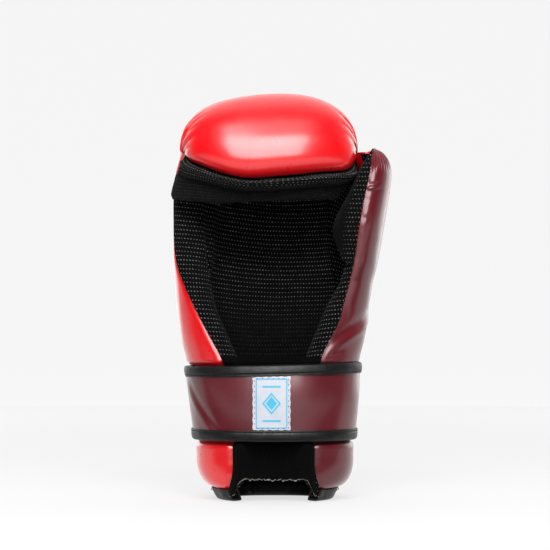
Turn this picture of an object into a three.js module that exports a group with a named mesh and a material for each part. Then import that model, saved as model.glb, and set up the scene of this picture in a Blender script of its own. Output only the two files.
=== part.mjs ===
// A point fighting glove for the right hand, standing upright on its cuff.
// Millimetres, +Z up. The palm faces -Y and the thumb is on the +X side.
import * as THREE from 'three';
import { mergeVertices } from 'three/addons/utils/BufferGeometryUtils.js';

// Overall sizes of the padded hand part
const CORNER_HEIGHT = 234; // floor to the two corners where the hood's seam starts
const HAND_HALF_WIDTH = 68; // middle line to either side of the hand part
const BACK_REACH = 48; // side line to the back of the hand
const FRONT_REACH = 40; // side line to the front of the palm
const SIDE_LINE = 2; // place of the widest line along Y
const SQUARENESS = 2.3; // exponent of the rounded sections, 2 is an ellipse

// Padding and cloth
const SIDE_PAD = 15;
const BACK_PAD = 25;
const THUMB_PAD = 12;
const RIM_WALL = 4; // sewn flat wall at the cuff's bottom edge
const LINING = 2;
const WEB = 2.5;
const SLEEVE = 2;
const ELASTIC = 2;
const STRAP = 3;
const BINDING = 1.4;
const LABEL = 0.8;
const GAP = 0.35; // clearance between pieces that touch
const SEAM_GAP = 0.5; // between the shell's and the thumb pad's sewn edges
const LINING_GAP = 0.6; // between the padding and its lining
const EDGE_BULGE = 3; // rounding of the padded front edges
const EDGE_SPREAD = 1.1; // a lining stands this many times its distance off a rounded edge
const CORNER_SPREAD = 1.35; // and off an inner corner

// Cuff
const CUFF_BINDING_HEIGHT = 8;
const RIM_SIDE_INSET = 12; // the cuff's bottom edge lies this far inside its padding at the sides
const RIM_BACK_INSET = 6;
const RIM_FRONT_INSET = 2;
const RIM_TURN = 11; // degrees by which the front corners stay back at the bottom edge
const PUFF_HEIGHT = 18; // height over which the padding swells to its full width

// Wrist strap
const STRAP_BOTTOM = 40.5;
const STRAP_TOP = 92;
const STRAP_RISE = 1.7; // the top edge is this much higher at the thumb's side
const STRAP_PRESS = 3; // depth that the strap presses into the padding
const PRESS_EDGE = 4; // height over which the padding comes back out
const STRAP_START = 112; // degrees from the left side towards the back
const STRAP_OVERLAP = 62; // degrees of the free end on top of the start
const STRAP_RAMP = 30; // degrees over which the free end rises onto the start
const STRAP_RAMP_END = 4; // degrees before the start by which it has risen
const STRAP_BINDING_HEIGHT = 7.5;
const BINDING_SHOULDER = 0.4; // share of a binding's thickness by which its edge is rounded

// Hood over the fingers
const HOOD_BACK = 61; // corner line to the back, at the corners' height
const HOOD_FOLD = 211; // degrees that the hood turns, from the back over the top to its seam
const HOOD_LEFT_PINCH = 0.904; // share of the half width left at the seam's left corner
const HOOD_RIGHT_PINCH = 0.98;
const HOOD_SIDE_RISE = 0.08; // share of the hood's radius where its sides are widest
const POCKET_BACK = 31; // the same radius inside the finger pocket

// Finger band
const BAND = 3;
const BAND_CLEARANCE = 1; // to the shell's side, over the lined edge
const BAND_RIM = 3; // how far the rolled rim stands out
const BAND_LEFT_DROP = 28; // left corner to the band's lower edge
const BAND_FRONT_DROP = 34;
const BAND_RIGHT_DROP = 31;
const BAND_RIM_SHARE = 0.45; // share of the band's height that the rolled rim takes
const BAND_SEAM_SHARE = 0.83; // part of the hood's seam that the band's top edge follows
const BAND_TOP_ANGLES = [-27, -160]; // from the left corner to the right end, along the top edge
const BAND_BOTTOM_ANGLES = [6, -130];

// Thumb
const THUMB_TIP = 239;
const THUMB_HALF_WIDTH = 80; // middle line to the thumb's outer side
const THUMB_FOOT = 105; // height where the thumb's own sections start
const THUMB_SPLIT = 118; // height where the thumb pad leaves the hand part's sections
const THUMB_FREE = 160; // height where it has only its own sections
const THUMB_BACK_TURN = 55; // degrees from the outer side to the pad's back edge
const THUMB_FRONT_TURN = 95; // degrees from the outer side to the pad's front seam
const THUMB_CORE_DROP = 18; // tip to the end of the core line that the padding is measured towards
const WEB_FOOT = 142;
const WEB_DROP = 2; // corners' height to the web's top
const WEB_BOW = 2;
const WEB_GAP = 0.9; // to the shell, whose edge turns forward beside it
const SLEEVE_MOUTH_FRONT = 157;
const SLEEVE_MOUTH_BACK = 186;
const SLEEVE_BACK_DEPTH = 0.9; // share of THUMB_PAD at which it meets the pad's back edge
const SLEEVE_SWELL = 0.75; // exponent of its swelling towards the palm, 1 is a half sine

// Lining and elastic
const LINING_DROP = 12; // corners' height to the lining's top
const THUMB_LINING_TOP = 155;
const ELASTIC_BOTTOM = 12;
const ELASTIC_TOP = 97;
const ELASTIC_BOW = 3;
const ELASTIC_CLEARANCE = 0.9; // its ends to the lined edges, which they meet at a slant

const LABEL_WIDTH = 25;
const LABEL_SHIFT = -2.3;
const LABEL_MARGIN = 0.6;

// Horizontal sections of the hand part, from the cuff's rim to the hood's corners.
// height: share of the way up. left, right: shares of HAND_HALF_WIDTH. back, front: shares of the reaches.
// side, spine: shares of SIDE_PAD and BACK_PAD.
const HAND_SECTIONS = [
  { height: 0.0, left: 0.79, right: 0.79, back: 0.75, front: 0.96, side: 0.85, spine: 0.52 },
  { height: 0.14, left: 0.8, right: 0.79, back: 0.79, front: 0.99, side: 0.9, spine: 0.56 },
  { height: 0.26, left: 0.84, right: 0.82, back: 0.86, front: 1.02, side: 0.93, spine: 0.62 },
  { height: 0.38, left: 0.893, right: 0.85, back: 0.92, front: 1.01, side: 0.95, spine: 0.74 },
  { height: 0.44, left: 0.943, right: 0.9, back: 0.95, front: 0.98, side: 0.97, spine: 0.82 },
  { height: 0.5, left: 0.975, right: 0.93, back: 0.97, front: 0.94, side: 1.0, spine: 0.88 },
  { height: 0.575, left: 1.005, right: 0.93, back: 0.99, front: 0.88, side: 1.0, spine: 0.94 },
  { height: 0.637, left: 1.018, right: 0.9, back: 1.0, front: 0.83, side: 1.03, spine: 0.98 },
  { height: 0.7, left: 1.024, right: 0.87, back: 1.01, front: 0.78, side: 1.05, spine: 1.0 },
  { height: 0.783, left: 1.024, right: 0.85, back: 1.01, front: 0.76, side: 1.05, spine: 1.0 },
  { height: 0.87, left: 1.024, right: 0.84, back: 1.0, front: 0.8, side: 1.05, spine: 1.0 },
  { height: 0.938, left: 1.01, right: 0.835, back: 0.98, front: 0.9, side: 1.0, spine: 0.97 },
  { height: 1.0, left: 0.978, right: 0.83, back: 0.958, front: 1.0, side: 0.95, spine: 0.93 },
];

// Where the pieces end along the same sections, in degrees.
// wrap: past the left side, where the red skin ends. seam: past the right side, where it ends there.
// thumb: past the right side, where the thumb pad ends.
const HAND_EDGES = [
  { height: 0.0, wrap: 57, seam: -25, thumb: 60 },
  { height: 0.14, wrap: 57, seam: -25, thumb: 60 },
  { height: 0.26, wrap: 56, seam: -25, thumb: 59 },
  { height: 0.38, wrap: 55, seam: -25, thumb: 58 },
  { height: 0.44, wrap: 49, seam: -25, thumb: 54 },
  { height: 0.5, wrap: 43, seam: -25, thumb: 48 },
  { height: 0.575, wrap: 34, seam: -25, thumb: 42 },
  { height: 0.637, wrap: 24, seam: -25, thumb: 34 },
  { height: 0.7, wrap: 13, seam: -25, thumb: 30 },
  { height: 0.783, wrap: 3, seam: -25, thumb: 30 },
  { height: 0.87, wrap: 3, seam: -22, thumb: 30 },
  { height: 0.938, wrap: 12, seam: -6, thumb: 30 },
  { height: 1.0, wrap: 27, seam: 12, thumb: 30 },
];

// Turns of the hood about the line through its two corners.
// turn: share of HOOD_FOLD. outer: share of HOOD_BACK. pocket: share of POCKET_BACK.
// left, right: exponents of the front outline towards either corner.
const HOOD_TURNS = [
  { turn: 0.0, outer: 1.0, pocket: 1.0, left: 2.3, right: 2.3 },
  { turn: 0.11, outer: 0.985, pocket: 0.99, left: 2.3, right: 2.3 },
  { turn: 0.21, outer: 0.905, pocket: 0.92, left: 2.3, right: 2.3 },
  { turn: 0.31, outer: 0.795, pocket: 0.82, left: 2.3, right: 2.4 },
  { turn: 0.43, outer: 0.7, pocket: 0.74, left: 2.3, right: 2.5 },
  { turn: 0.57, outer: 0.63, pocket: 0.7, left: 2.3, right: 2.6 },
  { turn: 0.71, outer: 0.588, pocket: 0.68, left: 2.2, right: 2.8 },
  { turn: 0.85, outer: 0.552, pocket: 0.66, left: 2.1, right: 3.0 },
  { turn: 1.0, outer: 0.538, pocket: 0.61, left: 2.0, right: 3.3 },
];

// Horizontal sections of the thumb, from where the pad splits off to its tip.
// height: share of the way up. outer, seam: shares of THUMB_HALF_WIDTH. front: share of FRONT_REACH.
// back: share of BACK_REACH. bulge: how far the sleeve stands towards the palm, share of THUMB_HALF_WIDTH.
const THUMB_SECTIONS = [
  { height: 0.0, outer: 0.77, seam: 0.43, front: 0.8, back: 0.44, bulge: 0.0 },
  { height: 0.13, outer: 0.81, seam: 0.52, front: 0.77, back: 0.44, bulge: 0.02 },
  { height: 0.235, outer: 0.84, seam: 0.59, front: 0.75, back: 0.42, bulge: 0.03 },
  { height: 0.34, outer: 0.857, seam: 0.635, front: 0.73, back: 0.4, bulge: 0.05 },
  { height: 0.455, outer: 0.893, seam: 0.67, front: 0.77, back: 0.37, bulge: 0.11 },
  { height: 0.6, outer: 0.932, seam: 0.706, front: 0.82, back: 0.33, bulge: 0.19 },
  { height: 0.76, outer: 0.978, seam: 0.757, front: 0.82, back: 0.28, bulge: 0.13 },
  { height: 0.865, outer: 0.994, seam: 0.795, front: 0.77, back: 0.2, bulge: 0.09 },
  { height: 0.925, outer: 0.974, seam: 0.812, front: 0.67, back: 0.1, bulge: 0.055 },
  { height: 0.972, outer: 0.92, seam: 0.828, front: 0.5, back: -0.04, bulge: 0.025 },
  { height: 1.0, outer: 0.844, seam: 0.844, front: 0.3, back: -0.25, bulge: 0.0 },
];

const SWELL_ROWS = [0, 0.12, 0.4, 1]; // shares of PUFF_HEIGHT that have a row
const STRAP_ROWS = [0, 1 / 3, 2 / 3]; // shares of the strap's height that have a row
const FIRST_FREE_SECTION = 4; // first of HAND_SECTIONS above the strap
const ROW_SPACING = 1; // rows closer than this are joined
const ROW_MARGIN = 2; // a sheet has no row closer than this to its ends
const BAND_ROWS = [0, 0.1, 0.25, 0.4, 0.5, 0.7, 1]; // shares of the way down the finger band
const SLEEVE_ROWS = [0, 0.12, 0.3, 0.5, 0.68, 0.82, 0.92, 1]; // shares of the way up the thumb sleeve
const ELASTIC_SHARES = [0, 0.17, 0.33, 0.5, 0.67, 0.83, 1]; // from its left edge to its right one
const HAND_COLUMNS = 26;
const THUMB_COLUMNS = 10;
const SHARE_STEP = 0.02; // step in a share that gives the direction of an edge
const BAND_COLUMNS = 20;
const SLEEVE_COLUMNS = 10;
const STRAP_STEPS = 44;
const CUFF_STEPS = 30;
const LABEL_COLUMNS = 4;

const WEB_TOP = CORNER_HEIGHT - WEB_DROP;
const LINING_TOP = CORNER_HEIGHT - LINING_DROP;
const RIM_BOTTOM = BINDING + GAP;
const RIM_TOP = CUFF_BINDING_HEIGHT + GAP;

const { lerp, clamp, degToRad, smoothstep } = THREE.MathUtils;

// The shares 0 to 1 in equal steps.
function sharesOf(steps) {
  return Array.from({ length: steps + 1 }, (_, step) => step / steps);
}

function signedPower(value, power) {
  return Math.sign(value) * Math.abs(value) ** power;
}

// Smooth curve through one column of a table, as a cubic between each two rows.
function sampleTable(table, key, column, at) {
  const last = table.length - 1;
  if (at <= table[0][key]) return table[0][column];
  if (at >= table[last][key]) return table[last][column];
  const next = table.findIndex((row) => row[key] > at);
  const row = next - 1;
  const slope = (index) => {
    const before = table[Math.max(index - 1, 0)];
    const after = table[Math.min(index + 1, last)];
    return (after[column] - before[column]) / (after[key] - before[key]);
  };
  const span = table[next][key] - table[row][key];
  const t = (at - table[row][key]) / span;
  const fromValue = table[row][column];
  const toValue = table[next][column];
  const rise = (2 * t ** 3 - 3 * t ** 2 + 1) * fromValue + (3 * t ** 2 - 2 * t ** 3) * toValue;
  return rise + span * ((t ** 3 - 2 * t ** 2 + t) * slope(row) + (t ** 3 - t ** 2) * slope(next));
}

// Bodies

// One closed body from a triangle list, with its faces turned outwards.
function closedBody(points, triangles) {
  const geometry = new THREE.BufferGeometry();
  geometry.setAttribute('position', new THREE.Float32BufferAttribute(points.flat(), 3));
  geometry.setIndex(triangles.flat());
  const merged = mergeVertices(geometry, 0.002);
  const position = merged.getAttribute('position');
  const corners = [new THREE.Vector3(), new THREE.Vector3(), new THREE.Vector3()];
  const kept = [];
  let volume = 0;
  for (let start = 0; start < merged.index.count; start += 3) {
    const indices = [0, 1, 2].map((offset) => merged.index.getX(start + offset));
    if (new Set(indices).size < 3) continue;
    kept.push(indices);
    corners.forEach((corner, offset) => corner.fromBufferAttribute(position, indices[offset]));
    volume += corners[0].dot(corners[1].clone().cross(corners[2]));
  }
  const outward = volume > 0 ? kept : kept.map(([a, b, c]) => [a, c, b]);
  merged.setIndex(outward.flat());
  merged.computeVertexNormals();
  return merged;
}

// Joins closed rings of equally many points, and closes both ends. A ring runs along its first half and back
// along its second half, so each end is closed by a strip between the two halves.
function loftRings(rings) {
  const size = rings[0].length;
  const half = size / 2;
  const triangles = [];
  for (let row = 0; row + 1 < rings.length; row += 1) {
    for (let column = 0; column < size; column += 1) {
      const a = row * size + column;
      const b = row * size + ((column + 1) % size);
      triangles.push([a, b, b + size], [a, b + size, a + size]);
    }
  }
  const closeEnd = (first, flip) => {
    for (let column = 0; column + 1 < half; column += 1) {
      const a = first + column;
      const b = a + 1;
      const c = first + size - 2 - column;
      const d = c + 1;
      const strip = [[a, c, b], [a, d, c]];
      triangles.push(...(flip ? strip.map(([p, q, r]) => [p, r, q]) : strip));
    }
  };
  closeEnd(0, false);
  closeEnd((rings.length - 1) * size, true);
  return closedBody(rings.flat(), triangles);
}

// A ring from a sheet's two faces in one row, with a rounded edge point at each end.
function padRing(outer, inner, startEdge, endEdge) {
  return [startEdge, ...outer, endEdge, ...inner.slice().reverse()];
}

// A ring from a sheet's two faces in one row, with square edges.
function sheetRing(outer, inner) {
  return [...outer, ...inner.slice().reverse()];
}

function midpoint(a, b) {
  return a.map((value, axis) => (value + b[axis]) / 2);
}

function mixPoints(a, b, share) {
  return a.map((value, axis) => lerp(value, b[axis], share));
}

function unit(vector) {
  const length = Math.hypot(...vector);
  return vector.map((value) => value / length);
}

function moved(point, direction, distance) {
  return point.map((value, axis) => value + direction[axis] * distance);
}

function difference(a, b) {
  return a.map((value, axis) => value - b[axis]);
}

// Sections of the hand part

// Swelling of the padding above the sewn rim, 0 at the rim and 1 at full width.
function puff(height) {
  const share = clamp((height - RIM_TOP) / PUFF_HEIGHT, 0, 1);
  return Math.sqrt(1 - (1 - share) ** 2);
}

function strapPress(height) {
  const rising = smoothstep(height, STRAP_BOTTOM - PRESS_EDGE, STRAP_BOTTOM);
  const falling = 1 - smoothstep(height, STRAP_TOP + STRAP_RISE, STRAP_TOP + STRAP_RISE + PRESS_EDGE);
  return STRAP_PRESS * rising * falling;
}

function handSection(height) {
  const share = (height - RIM_TOP) / (CORNER_HEIGHT - RIM_TOP);
  const pick = (column) => sampleTable(HAND_SECTIONS, 'height', column, share);
  const edge = (column) => sampleTable(HAND_EDGES, 'height', column, share);
  const swelling = puff(height);
  const rim = 1 - swelling;
  const press = strapPress(height);
  const sideInset = RIM_SIDE_INSET * rim + press;
  const left = HAND_HALF_WIDTH * pick('left') - sideInset;
  const right = HAND_HALF_WIDTH * pick('right') - sideInset;
  return {
    height,
    middle: (right - left) / 2,
    halfWidth: (right + left) / 2,
    back: BACK_REACH * pick('back') - RIM_BACK_INSET * rim - press,
    front: FRONT_REACH * pick('front') - RIM_FRONT_INSET * rim - press,
    side: lerp(RIM_WALL, SIDE_PAD * pick('side'), swelling) - press,
    spine: lerp(RIM_WALL, BACK_PAD * pick('spine'), swelling) - press,
    wrap: degToRad(edge('wrap') - RIM_TURN * rim),
    seam: degToRad(180 + edge('seam')),
    thumb: degToRad(180 + edge('thumb') - RIM_TURN * rim),
  };
}

// A point of a section. The angle is 0 at the left side, 90 degrees at the back and 180 at the right side.
// The depth is 0 on the skin and 1 on the padding's inner face, and more is a further distance inwards.
function sectionPoint(section, angle, depth = 0, extra = 0) {
  const along = signedPower(Math.cos(angle), 2 / SQUARENESS);
  const across = signedPower(Math.sin(angle), 2 / SQUARENESS);
  const sideInset = section.side * depth + extra;
  const reach = across > 0
    ? section.back - section.spine * depth - extra
    : section.front - section.side * depth - extra;
  return [
    section.middle - (section.halfWidth - sideInset) * along,
    SIDE_LINE + reach * across,
    section.height,
  ];
}

// Direction along a section, towards a smaller or larger angle.
function sectionDirection(section, angle, sign) {
  const step = degToRad(1) * sign;
  return unit(difference(sectionPoint(section, angle + step, 0.5), sectionPoint(section, angle, 0.5)));
}

function seamClearance(section) {
  return SEAM_GAP / 2 / section.halfWidth;
}

// Heights of the rows that the hand part's pieces share.
const ROW_HEIGHTS = (() => {
  const fixed = [
    RIM_BOTTOM,
    ...SWELL_ROWS.map((share) => RIM_TOP + PUFF_HEIGHT * share),
    STRAP_BOTTOM - PRESS_EDGE,
    ...STRAP_ROWS.map((share) => lerp(STRAP_BOTTOM, STRAP_TOP, share)),
    STRAP_TOP + STRAP_RISE,
    STRAP_TOP + STRAP_RISE + PRESS_EDGE,
    THUMB_LINING_TOP,
    LINING_TOP,
    WEB_FOOT,
    (LINING_TOP + WEB_TOP) / 2,
    WEB_TOP,
  ];
  const free = HAND_SECTIONS.slice(FIRST_FREE_SECTION);
  const above = free.map((row) => lerp(RIM_TOP, CORNER_HEIGHT, row.height));
  const sorted = [...fixed, ...above].sort((a, b) => a - b);
  return sorted.filter((height, index) => index === 0 || height - sorted[index - 1] > ROW_SPACING);
})();

// The shared rows between two heights, with both heights.
function rowsBetween(bottom, top) {
  const inside = ROW_HEIGHTS.filter((height) => height > bottom + ROW_MARGIN && height < top - ROW_MARGIN);
  return [bottom, ...inside, top];
}

function rowsUpTo(top) {
  return [...ROW_HEIGHTS.filter((height) => height < top - ROW_SPACING), top];
}

// Angles of the shell's columns in one section, from its left front edge round the back to its right edge.
function shellAngles(section) {
  const end = section.seam - seamClearance(section);
  return sharesOf(HAND_COLUMNS).map((share) => lerp(-section.wrap, end, share));
}

// Hood

// Turns one row of the corner section about the line through its two end points.
function hoodRow(base, section, turnShare, radiusColumn, fullRadius) {
  const turn = degToRad(HOOD_FOLD) * turnShare;
  const pick = (column) => sampleTable(HOOD_TURNS, 'turn', column, turnShare);
  const radius = fullRadius * pick(radiusColumn);
  const blend = smoothstep(turn, 0, Math.PI / 2);
  const closing = smoothstep(turn, Math.PI / 2, degToRad(HOOD_FOLD));
  const start = base[0];
  const end = base[base.length - 1];
  const halfWidth = Math.max(...base.map((point) => Math.abs(point[0] - section.middle)));
  const widest = Math.max(...base.map((point) => point[1]));
  return base.map((point, column) => {
    const atLeft = point[0] < section.middle;
    const lineShare = (point[0] - start[0]) / (end[0] - start[0]);
    const lineY = lerp(start[1], end[1], clamp(lineShare, 0, 1));
    const flat = (point[1] - lineY) / (widest - lerp(start[1], end[1], 0.5));
    const across = clamp(Math.abs(point[0] - section.middle) / halfWidth, 0, 1);
    const exponent = pick(atLeft ? 'left' : 'right');
    const arched = (1 - across ** exponent) ** (1 / exponent);
    const beforeSide = point[1] < SIDE_LINE;
    const edge = atLeft ? start : end;
    const rim = clamp((point[1] - edge[1]) / (SIDE_LINE - edge[1]), 0, 1);
    const domed = beforeSide ? HOOD_SIDE_RISE * rim : lerp(HOOD_SIDE_RISE, 1, arched);
    const isEnd = column === 0 || column === base.length - 1;
    const distance = isEnd ? 0 : radius * lerp(flat, domed, blend);
    const pinch = lerp(1, atLeft ? HOOD_LEFT_PINCH : HOOD_RIGHT_PINCH, closing);
    const x = isEnd ? point[0] : section.middle + (point[0] - section.middle) * pinch;
    return [x, lineY + distance * Math.cos(turn), section.height + distance * Math.sin(turn)];
  });
}

// Rows of the hood's skin or of the finger pocket, from the corners' height to the seam.
function hoodRows(depth) {
  const section = handSection(CORNER_HEIGHT);
  const base = shellAngles(section).map((angle) => sectionPoint(section, angle, depth));
  const radiusColumn = depth === 0 ? 'outer' : 'pocket';
  const fullRadius = depth === 0 ? HOOD_BACK : POCKET_BACK;
  return HOOD_TURNS.slice(1).map((row) => hoodRow(base, section, row.turn, radiusColumn, fullRadius));
}

// Point on a padded edge between skin and inner face, standing out along the section.
function edgePoint(outer, inner, direction, bulge) {
  return moved(midpoint(outer, inner), direction, bulge);
}

function makeHandShell() {
  const rings = rowsUpTo(CORNER_HEIGHT).map((height) => {
    const section = handSection(height);
    const angles = shellAngles(section);
    const outer = angles.map((angle) => sectionPoint(section, angle));
    const inner = angles.map((angle) => sectionPoint(section, angle, 1));
    const bulge = EDGE_BULGE * puff(height);
    const start = edgePoint(outer[0], inner[0], sectionDirection(section, angles[0], -1), bulge);
    const end = midpoint(outer[HAND_COLUMNS], inner[HAND_COLUMNS]);
    return padRing(outer, inner, start, end);
  });
  const corner = rings[rings.length - 1];
  const pocket = hoodRows(1);
  hoodRows(0).forEach((outer, row) => {
    rings.push(padRing(outer, pocket[row], corner[0], corner[HAND_COLUMNS + 2]));
  });
  return loftRings(rings);
}

// Thumb

function thumbSection(height) {
  const share = (height - THUMB_FOOT) / (THUMB_TIP - THUMB_FOOT);
  const pick = (column) => sampleTable(THUMB_SECTIONS, 'height', column, share);
  const outer = THUMB_HALF_WIDTH * pick('outer');
  const seamX = THUMB_HALF_WIDTH * pick('seam');
  const seamY = -FRONT_REACH * pick('front');
  const backY = BACK_REACH * pick('back');
  const backTurn = degToRad(THUMB_BACK_TURN);
  const frontTurn = degToRad(THUMB_FRONT_TURN);
  const halfWidth = (outer - seamX) / (1 - Math.cos(frontTurn));
  const halfDepth = (backY - seamY) / (Math.sin(backTurn) + Math.sin(frontTurn));
  return {
    height,
    x: outer - halfWidth,
    y: backY - halfDepth * Math.sin(backTurn),
    halfWidth,
    halfDepth,
    bulge: THUMB_HALF_WIDTH * pick('bulge'),
  };
}

// A point of the thumb pad. The share runs from its back edge round the outer side to its front seam, and the
// inset is the distance inwards from the skin.
function thumbPoint(height, share, depth, extra) {
  const section = thumbSection(height);
  const turn = degToRad(lerp(THUMB_BACK_TURN, -THUMB_FRONT_TURN, share));
  const skin = [
    section.x + section.halfWidth * Math.cos(turn),
    section.y + section.halfDepth * Math.sin(turn),
    height,
  ];
  const inset = THUMB_PAD * depth + extra;
  if (inset === 0) return skin;
  const core = [section.x, section.y, Math.min(height, THUMB_TIP - THUMB_CORE_DROP)];
  return moved(skin, unit(difference(core, skin)), inset);
}

function padPoint(height, share, depth = 0, extra = 0) {
  const blend = smoothstep(height, THUMB_SPLIT, THUMB_FREE);
  const section = handSection(height);
  const start = section.seam + seamClearance(section);
  const onHand = sectionPoint(section, lerp(start, section.thumb, share), depth, extra);
  return blend > 0 ? mixPoints(onHand, thumbPoint(height, share, depth, extra), blend) : onHand;
}

function padEdgeDirection(height, share, sign) {
  const step = SHARE_STEP * sign;
  return unit(difference(padPoint(height, share + step, 0.5), padPoint(height, share, 0.5)));
}

const THUMB_SHARES = sharesOf(THUMB_COLUMNS);

function thumbHeights() {
  const upper = THUMB_SECTIONS.map((row) => lerp(THUMB_FOOT, THUMB_TIP, row.height));
  const start = ROW_HEIGHTS.filter((height) => height < THUMB_FREE);
  return [...start, ...upper.filter((height) => height > start[start.length - 1] + ROW_MARGIN)];
}

// How far the pad's front edge is rounded out, fading towards the tip.
function padBulge(height) {
  return EDGE_BULGE * puff(height) * (1 - smoothstep(height, THUMB_FREE, THUMB_TIP));
}

function makeThumbPad() {
  const rings = thumbHeights().map((height) => {
    const outer = THUMB_SHARES.map((share) => padPoint(height, share));
    const inner = THUMB_SHARES.map((share) => padPoint(height, share, 1));
    const bulge = padBulge(height);
    const start = midpoint(outer[0], inner[0]);
    const flatEnd = midpoint(outer[THUMB_COLUMNS], inner[THUMB_COLUMNS]);
    const end = bulge > 0 ? moved(flatEnd, padEdgeDirection(height, 1, 1), bulge) : flatEnd;
    return padRing(outer, inner, start, end);
  });
  return loftRings(rings);
}

function makeThumbWeb() {
  const rings = rowsBetween(WEB_FOOT, WEB_TOP).map((height) => {
    const section = handSection(height);
    const angles = shellAngles(section);
    const seam = angles[HAND_COLUMNS];
    const offShell = sectionDirection(section, seam, 1);
    const offPad = padEdgeDirection(height, 0, -1);
    const face = (depth, bow) => {
      const start = moved(sectionPoint(section, seam, depth / section.side), offShell, WEB_GAP);
      const end = moved(padPoint(height, 0, depth / THUMB_PAD), offPad, SEAM_GAP);
      const along = unit(difference(end, start));
      return [start, moved(midpoint(start, end), [-along[1], along[0], 0], bow), end];
    };
    return sheetRing(face(0, WEB_BOW), face(WEB, WEB_BOW));
  });
  return loftRings(rings);
}

// Linings

// A thin sheet on a padded edge and on the inner face beside it. The path has the skin's edge, the rounded
// edge, the inner corner and the inner face, with the direction in which each point stands off the padding.
function liningRing(path) {
  const far = path.map(({ point, away, spread }) => moved(point, away, (LINING_GAP + LINING) * spread));
  const near = path.map(({ point, away, spread }) => moved(point, away, LINING_GAP * spread));
  return sheetRing(far, near);
}

function liningEdge(skin, edge, corner, forward, inward) {
  const diagonal = unit(forward.map((value, axis) => value + inward[axis]));
  return [
    { point: skin, away: forward, spread: 1 },
    { point: edge, away: forward, spread: EDGE_SPREAD },
    { point: corner, away: diagonal, spread: CORNER_SPREAD },
  ];
}

function makeHandLining() {
  const rings = rowsUpTo(LINING_TOP).map((height) => {
    const section = handSection(height);
    const angles = shellAngles(section);
    const skin = sectionPoint(section, angles[0]);
    const corner = sectionPoint(section, angles[0], 1);
    const forward = sectionDirection(section, angles[0], -1);
    const edge = edgePoint(skin, corner, forward, EDGE_BULGE * puff(height));
    const face = angles.slice(1).map((angle) => {
      const point = sectionPoint(section, angle, 1);
      const further = sectionPoint(section, angle, 1, 1);
      return { point, away: unit(difference(further, point)), spread: 1 };
    });
    return liningRing([...liningEdge(skin, edge, corner, forward, unit(difference(corner, skin))), ...face]);
  });
  return loftRings(rings);
}

function makeThumbLining() {
  const lower = thumbHeights().filter((height) => height < THUMB_LINING_TOP - ROW_MARGIN);
  const rings = [...lower, THUMB_LINING_TOP].map((height) => {
    const skin = padPoint(height, 1);
    const corner = padPoint(height, 1, 1);
    const forward = padEdgeDirection(height, 1, 1);
    const edge = edgePoint(skin, corner, forward, padBulge(height));
    const face = THUMB_SHARES.slice(0, -1).reverse().map((share) => {
      const point = padPoint(height, share, 1);
      return { point, away: unit(difference(padPoint(height, share, 1, 1), point)), spread: 1 };
    });
    return liningRing([...liningEdge(skin, edge, corner, forward, unit(difference(corner, skin))), ...face]);
  });
  return loftRings(rings);
}

// Finger band


// Place along the hood's seam of the skin's point at a share of its length.
function seamPoint(share) {
  const rows = hoodRows(0);
  const seam = rows[rows.length - 1];
  const place = share * (seam.length - 1);
  const index = Math.min(Math.floor(place), seam.length - 2);
  return mixPoints(seam[index], seam[index + 1], place - index);
}

function bandPoint(share, drop, offset) {
  const top = seamPoint(lerp(0, BAND_SEAM_SHARE, share));
  const middleDrop = share < 0.5
    ? lerp(BAND_LEFT_DROP, BAND_FRONT_DROP, share * 2)
    : lerp(BAND_FRONT_DROP, BAND_RIGHT_DROP, share * 2 - 1);
  const bottomHeight = CORNER_HEIGHT - middleDrop;
  const height = lerp(top[2] - BAND_CLEARANCE, bottomHeight, drop);
  const section = handSection(height);
  const fromAngle = lerp(BAND_TOP_ANGLES[0], BAND_BOTTOM_ANGLES[0], drop);
  const toAngle = lerp(BAND_TOP_ANGLES[1], BAND_BOTTOM_ANGLES[1], drop);
  const angle = degToRad(lerp(fromAngle, toAngle, share));
  const onHand = sectionPoint(section, angle, 0, -offset - BAND_CLEARANCE);
  const outward = unit([top[0] - section.middle, top[1] - SIDE_LINE, 0]);
  const underHood = moved(top, outward, offset + GAP);
  const point = mixPoints(underHood, onHand, smoothstep(drop, 0, 0.5));
  return [point[0], point[1], height];
}

function makeFingerBand() {
  const shares = sharesOf(BAND_COLUMNS);
  const rings = BAND_ROWS.map((drop) => {
    const roll = BAND_RIM * Math.sin(Math.PI * clamp(drop / BAND_RIM_SHARE, 0, 1));
    const outer = shares.map((share) => {
      const fade = Math.sqrt(Math.sin(Math.PI * share));
      return bandPoint(share, drop, BAND + roll * fade);
    });
    const inner = shares.map((share) => bandPoint(share, drop, 0));
    return sheetRing(outer, inner);
  });
  return loftRings(rings);
}

// Thumb sleeve

function sleevePoint(share, rise, inset) {
  const mouth = lerp(SLEEVE_MOUTH_FRONT, SLEEVE_MOUTH_BACK, Math.sin(share * Math.PI / 2));
  const height = lerp(mouth, THUMB_TIP - THUMB_PAD / 2, rise);
  const section = thumbSection(height);
  const front = thumbPoint(height, 1, 0, 0);
  const back = thumbPoint(height, 0, SLEEVE_BACK_DEPTH, 0);
  const swell = section.bulge * Math.sin(Math.PI * share) ** SLEEVE_SWELL;
  const clear = padBulge(height) + SLEEVE + GAP * 2;
  const x = lerp(front[0], back[0], share) - clear - swell + inset;
  const edge = inset * Math.cos(Math.PI * share);
  const y = lerp(front[1], back[1], (1 - Math.cos(Math.PI * share)) / 2) + edge;
  return [x, y, height];
}

function makeThumbSleeve() {
  const shares = sharesOf(SLEEVE_COLUMNS);
  const rings = SLEEVE_ROWS.map((rise) => {
    const outer = shares.map((share) => sleevePoint(share, rise, 0));
    const inner = shares.map((share) => sleevePoint(share, rise, SLEEVE));
    return sheetRing(outer, inner);
  });
  return loftRings(rings);
}

// Wrist

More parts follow.
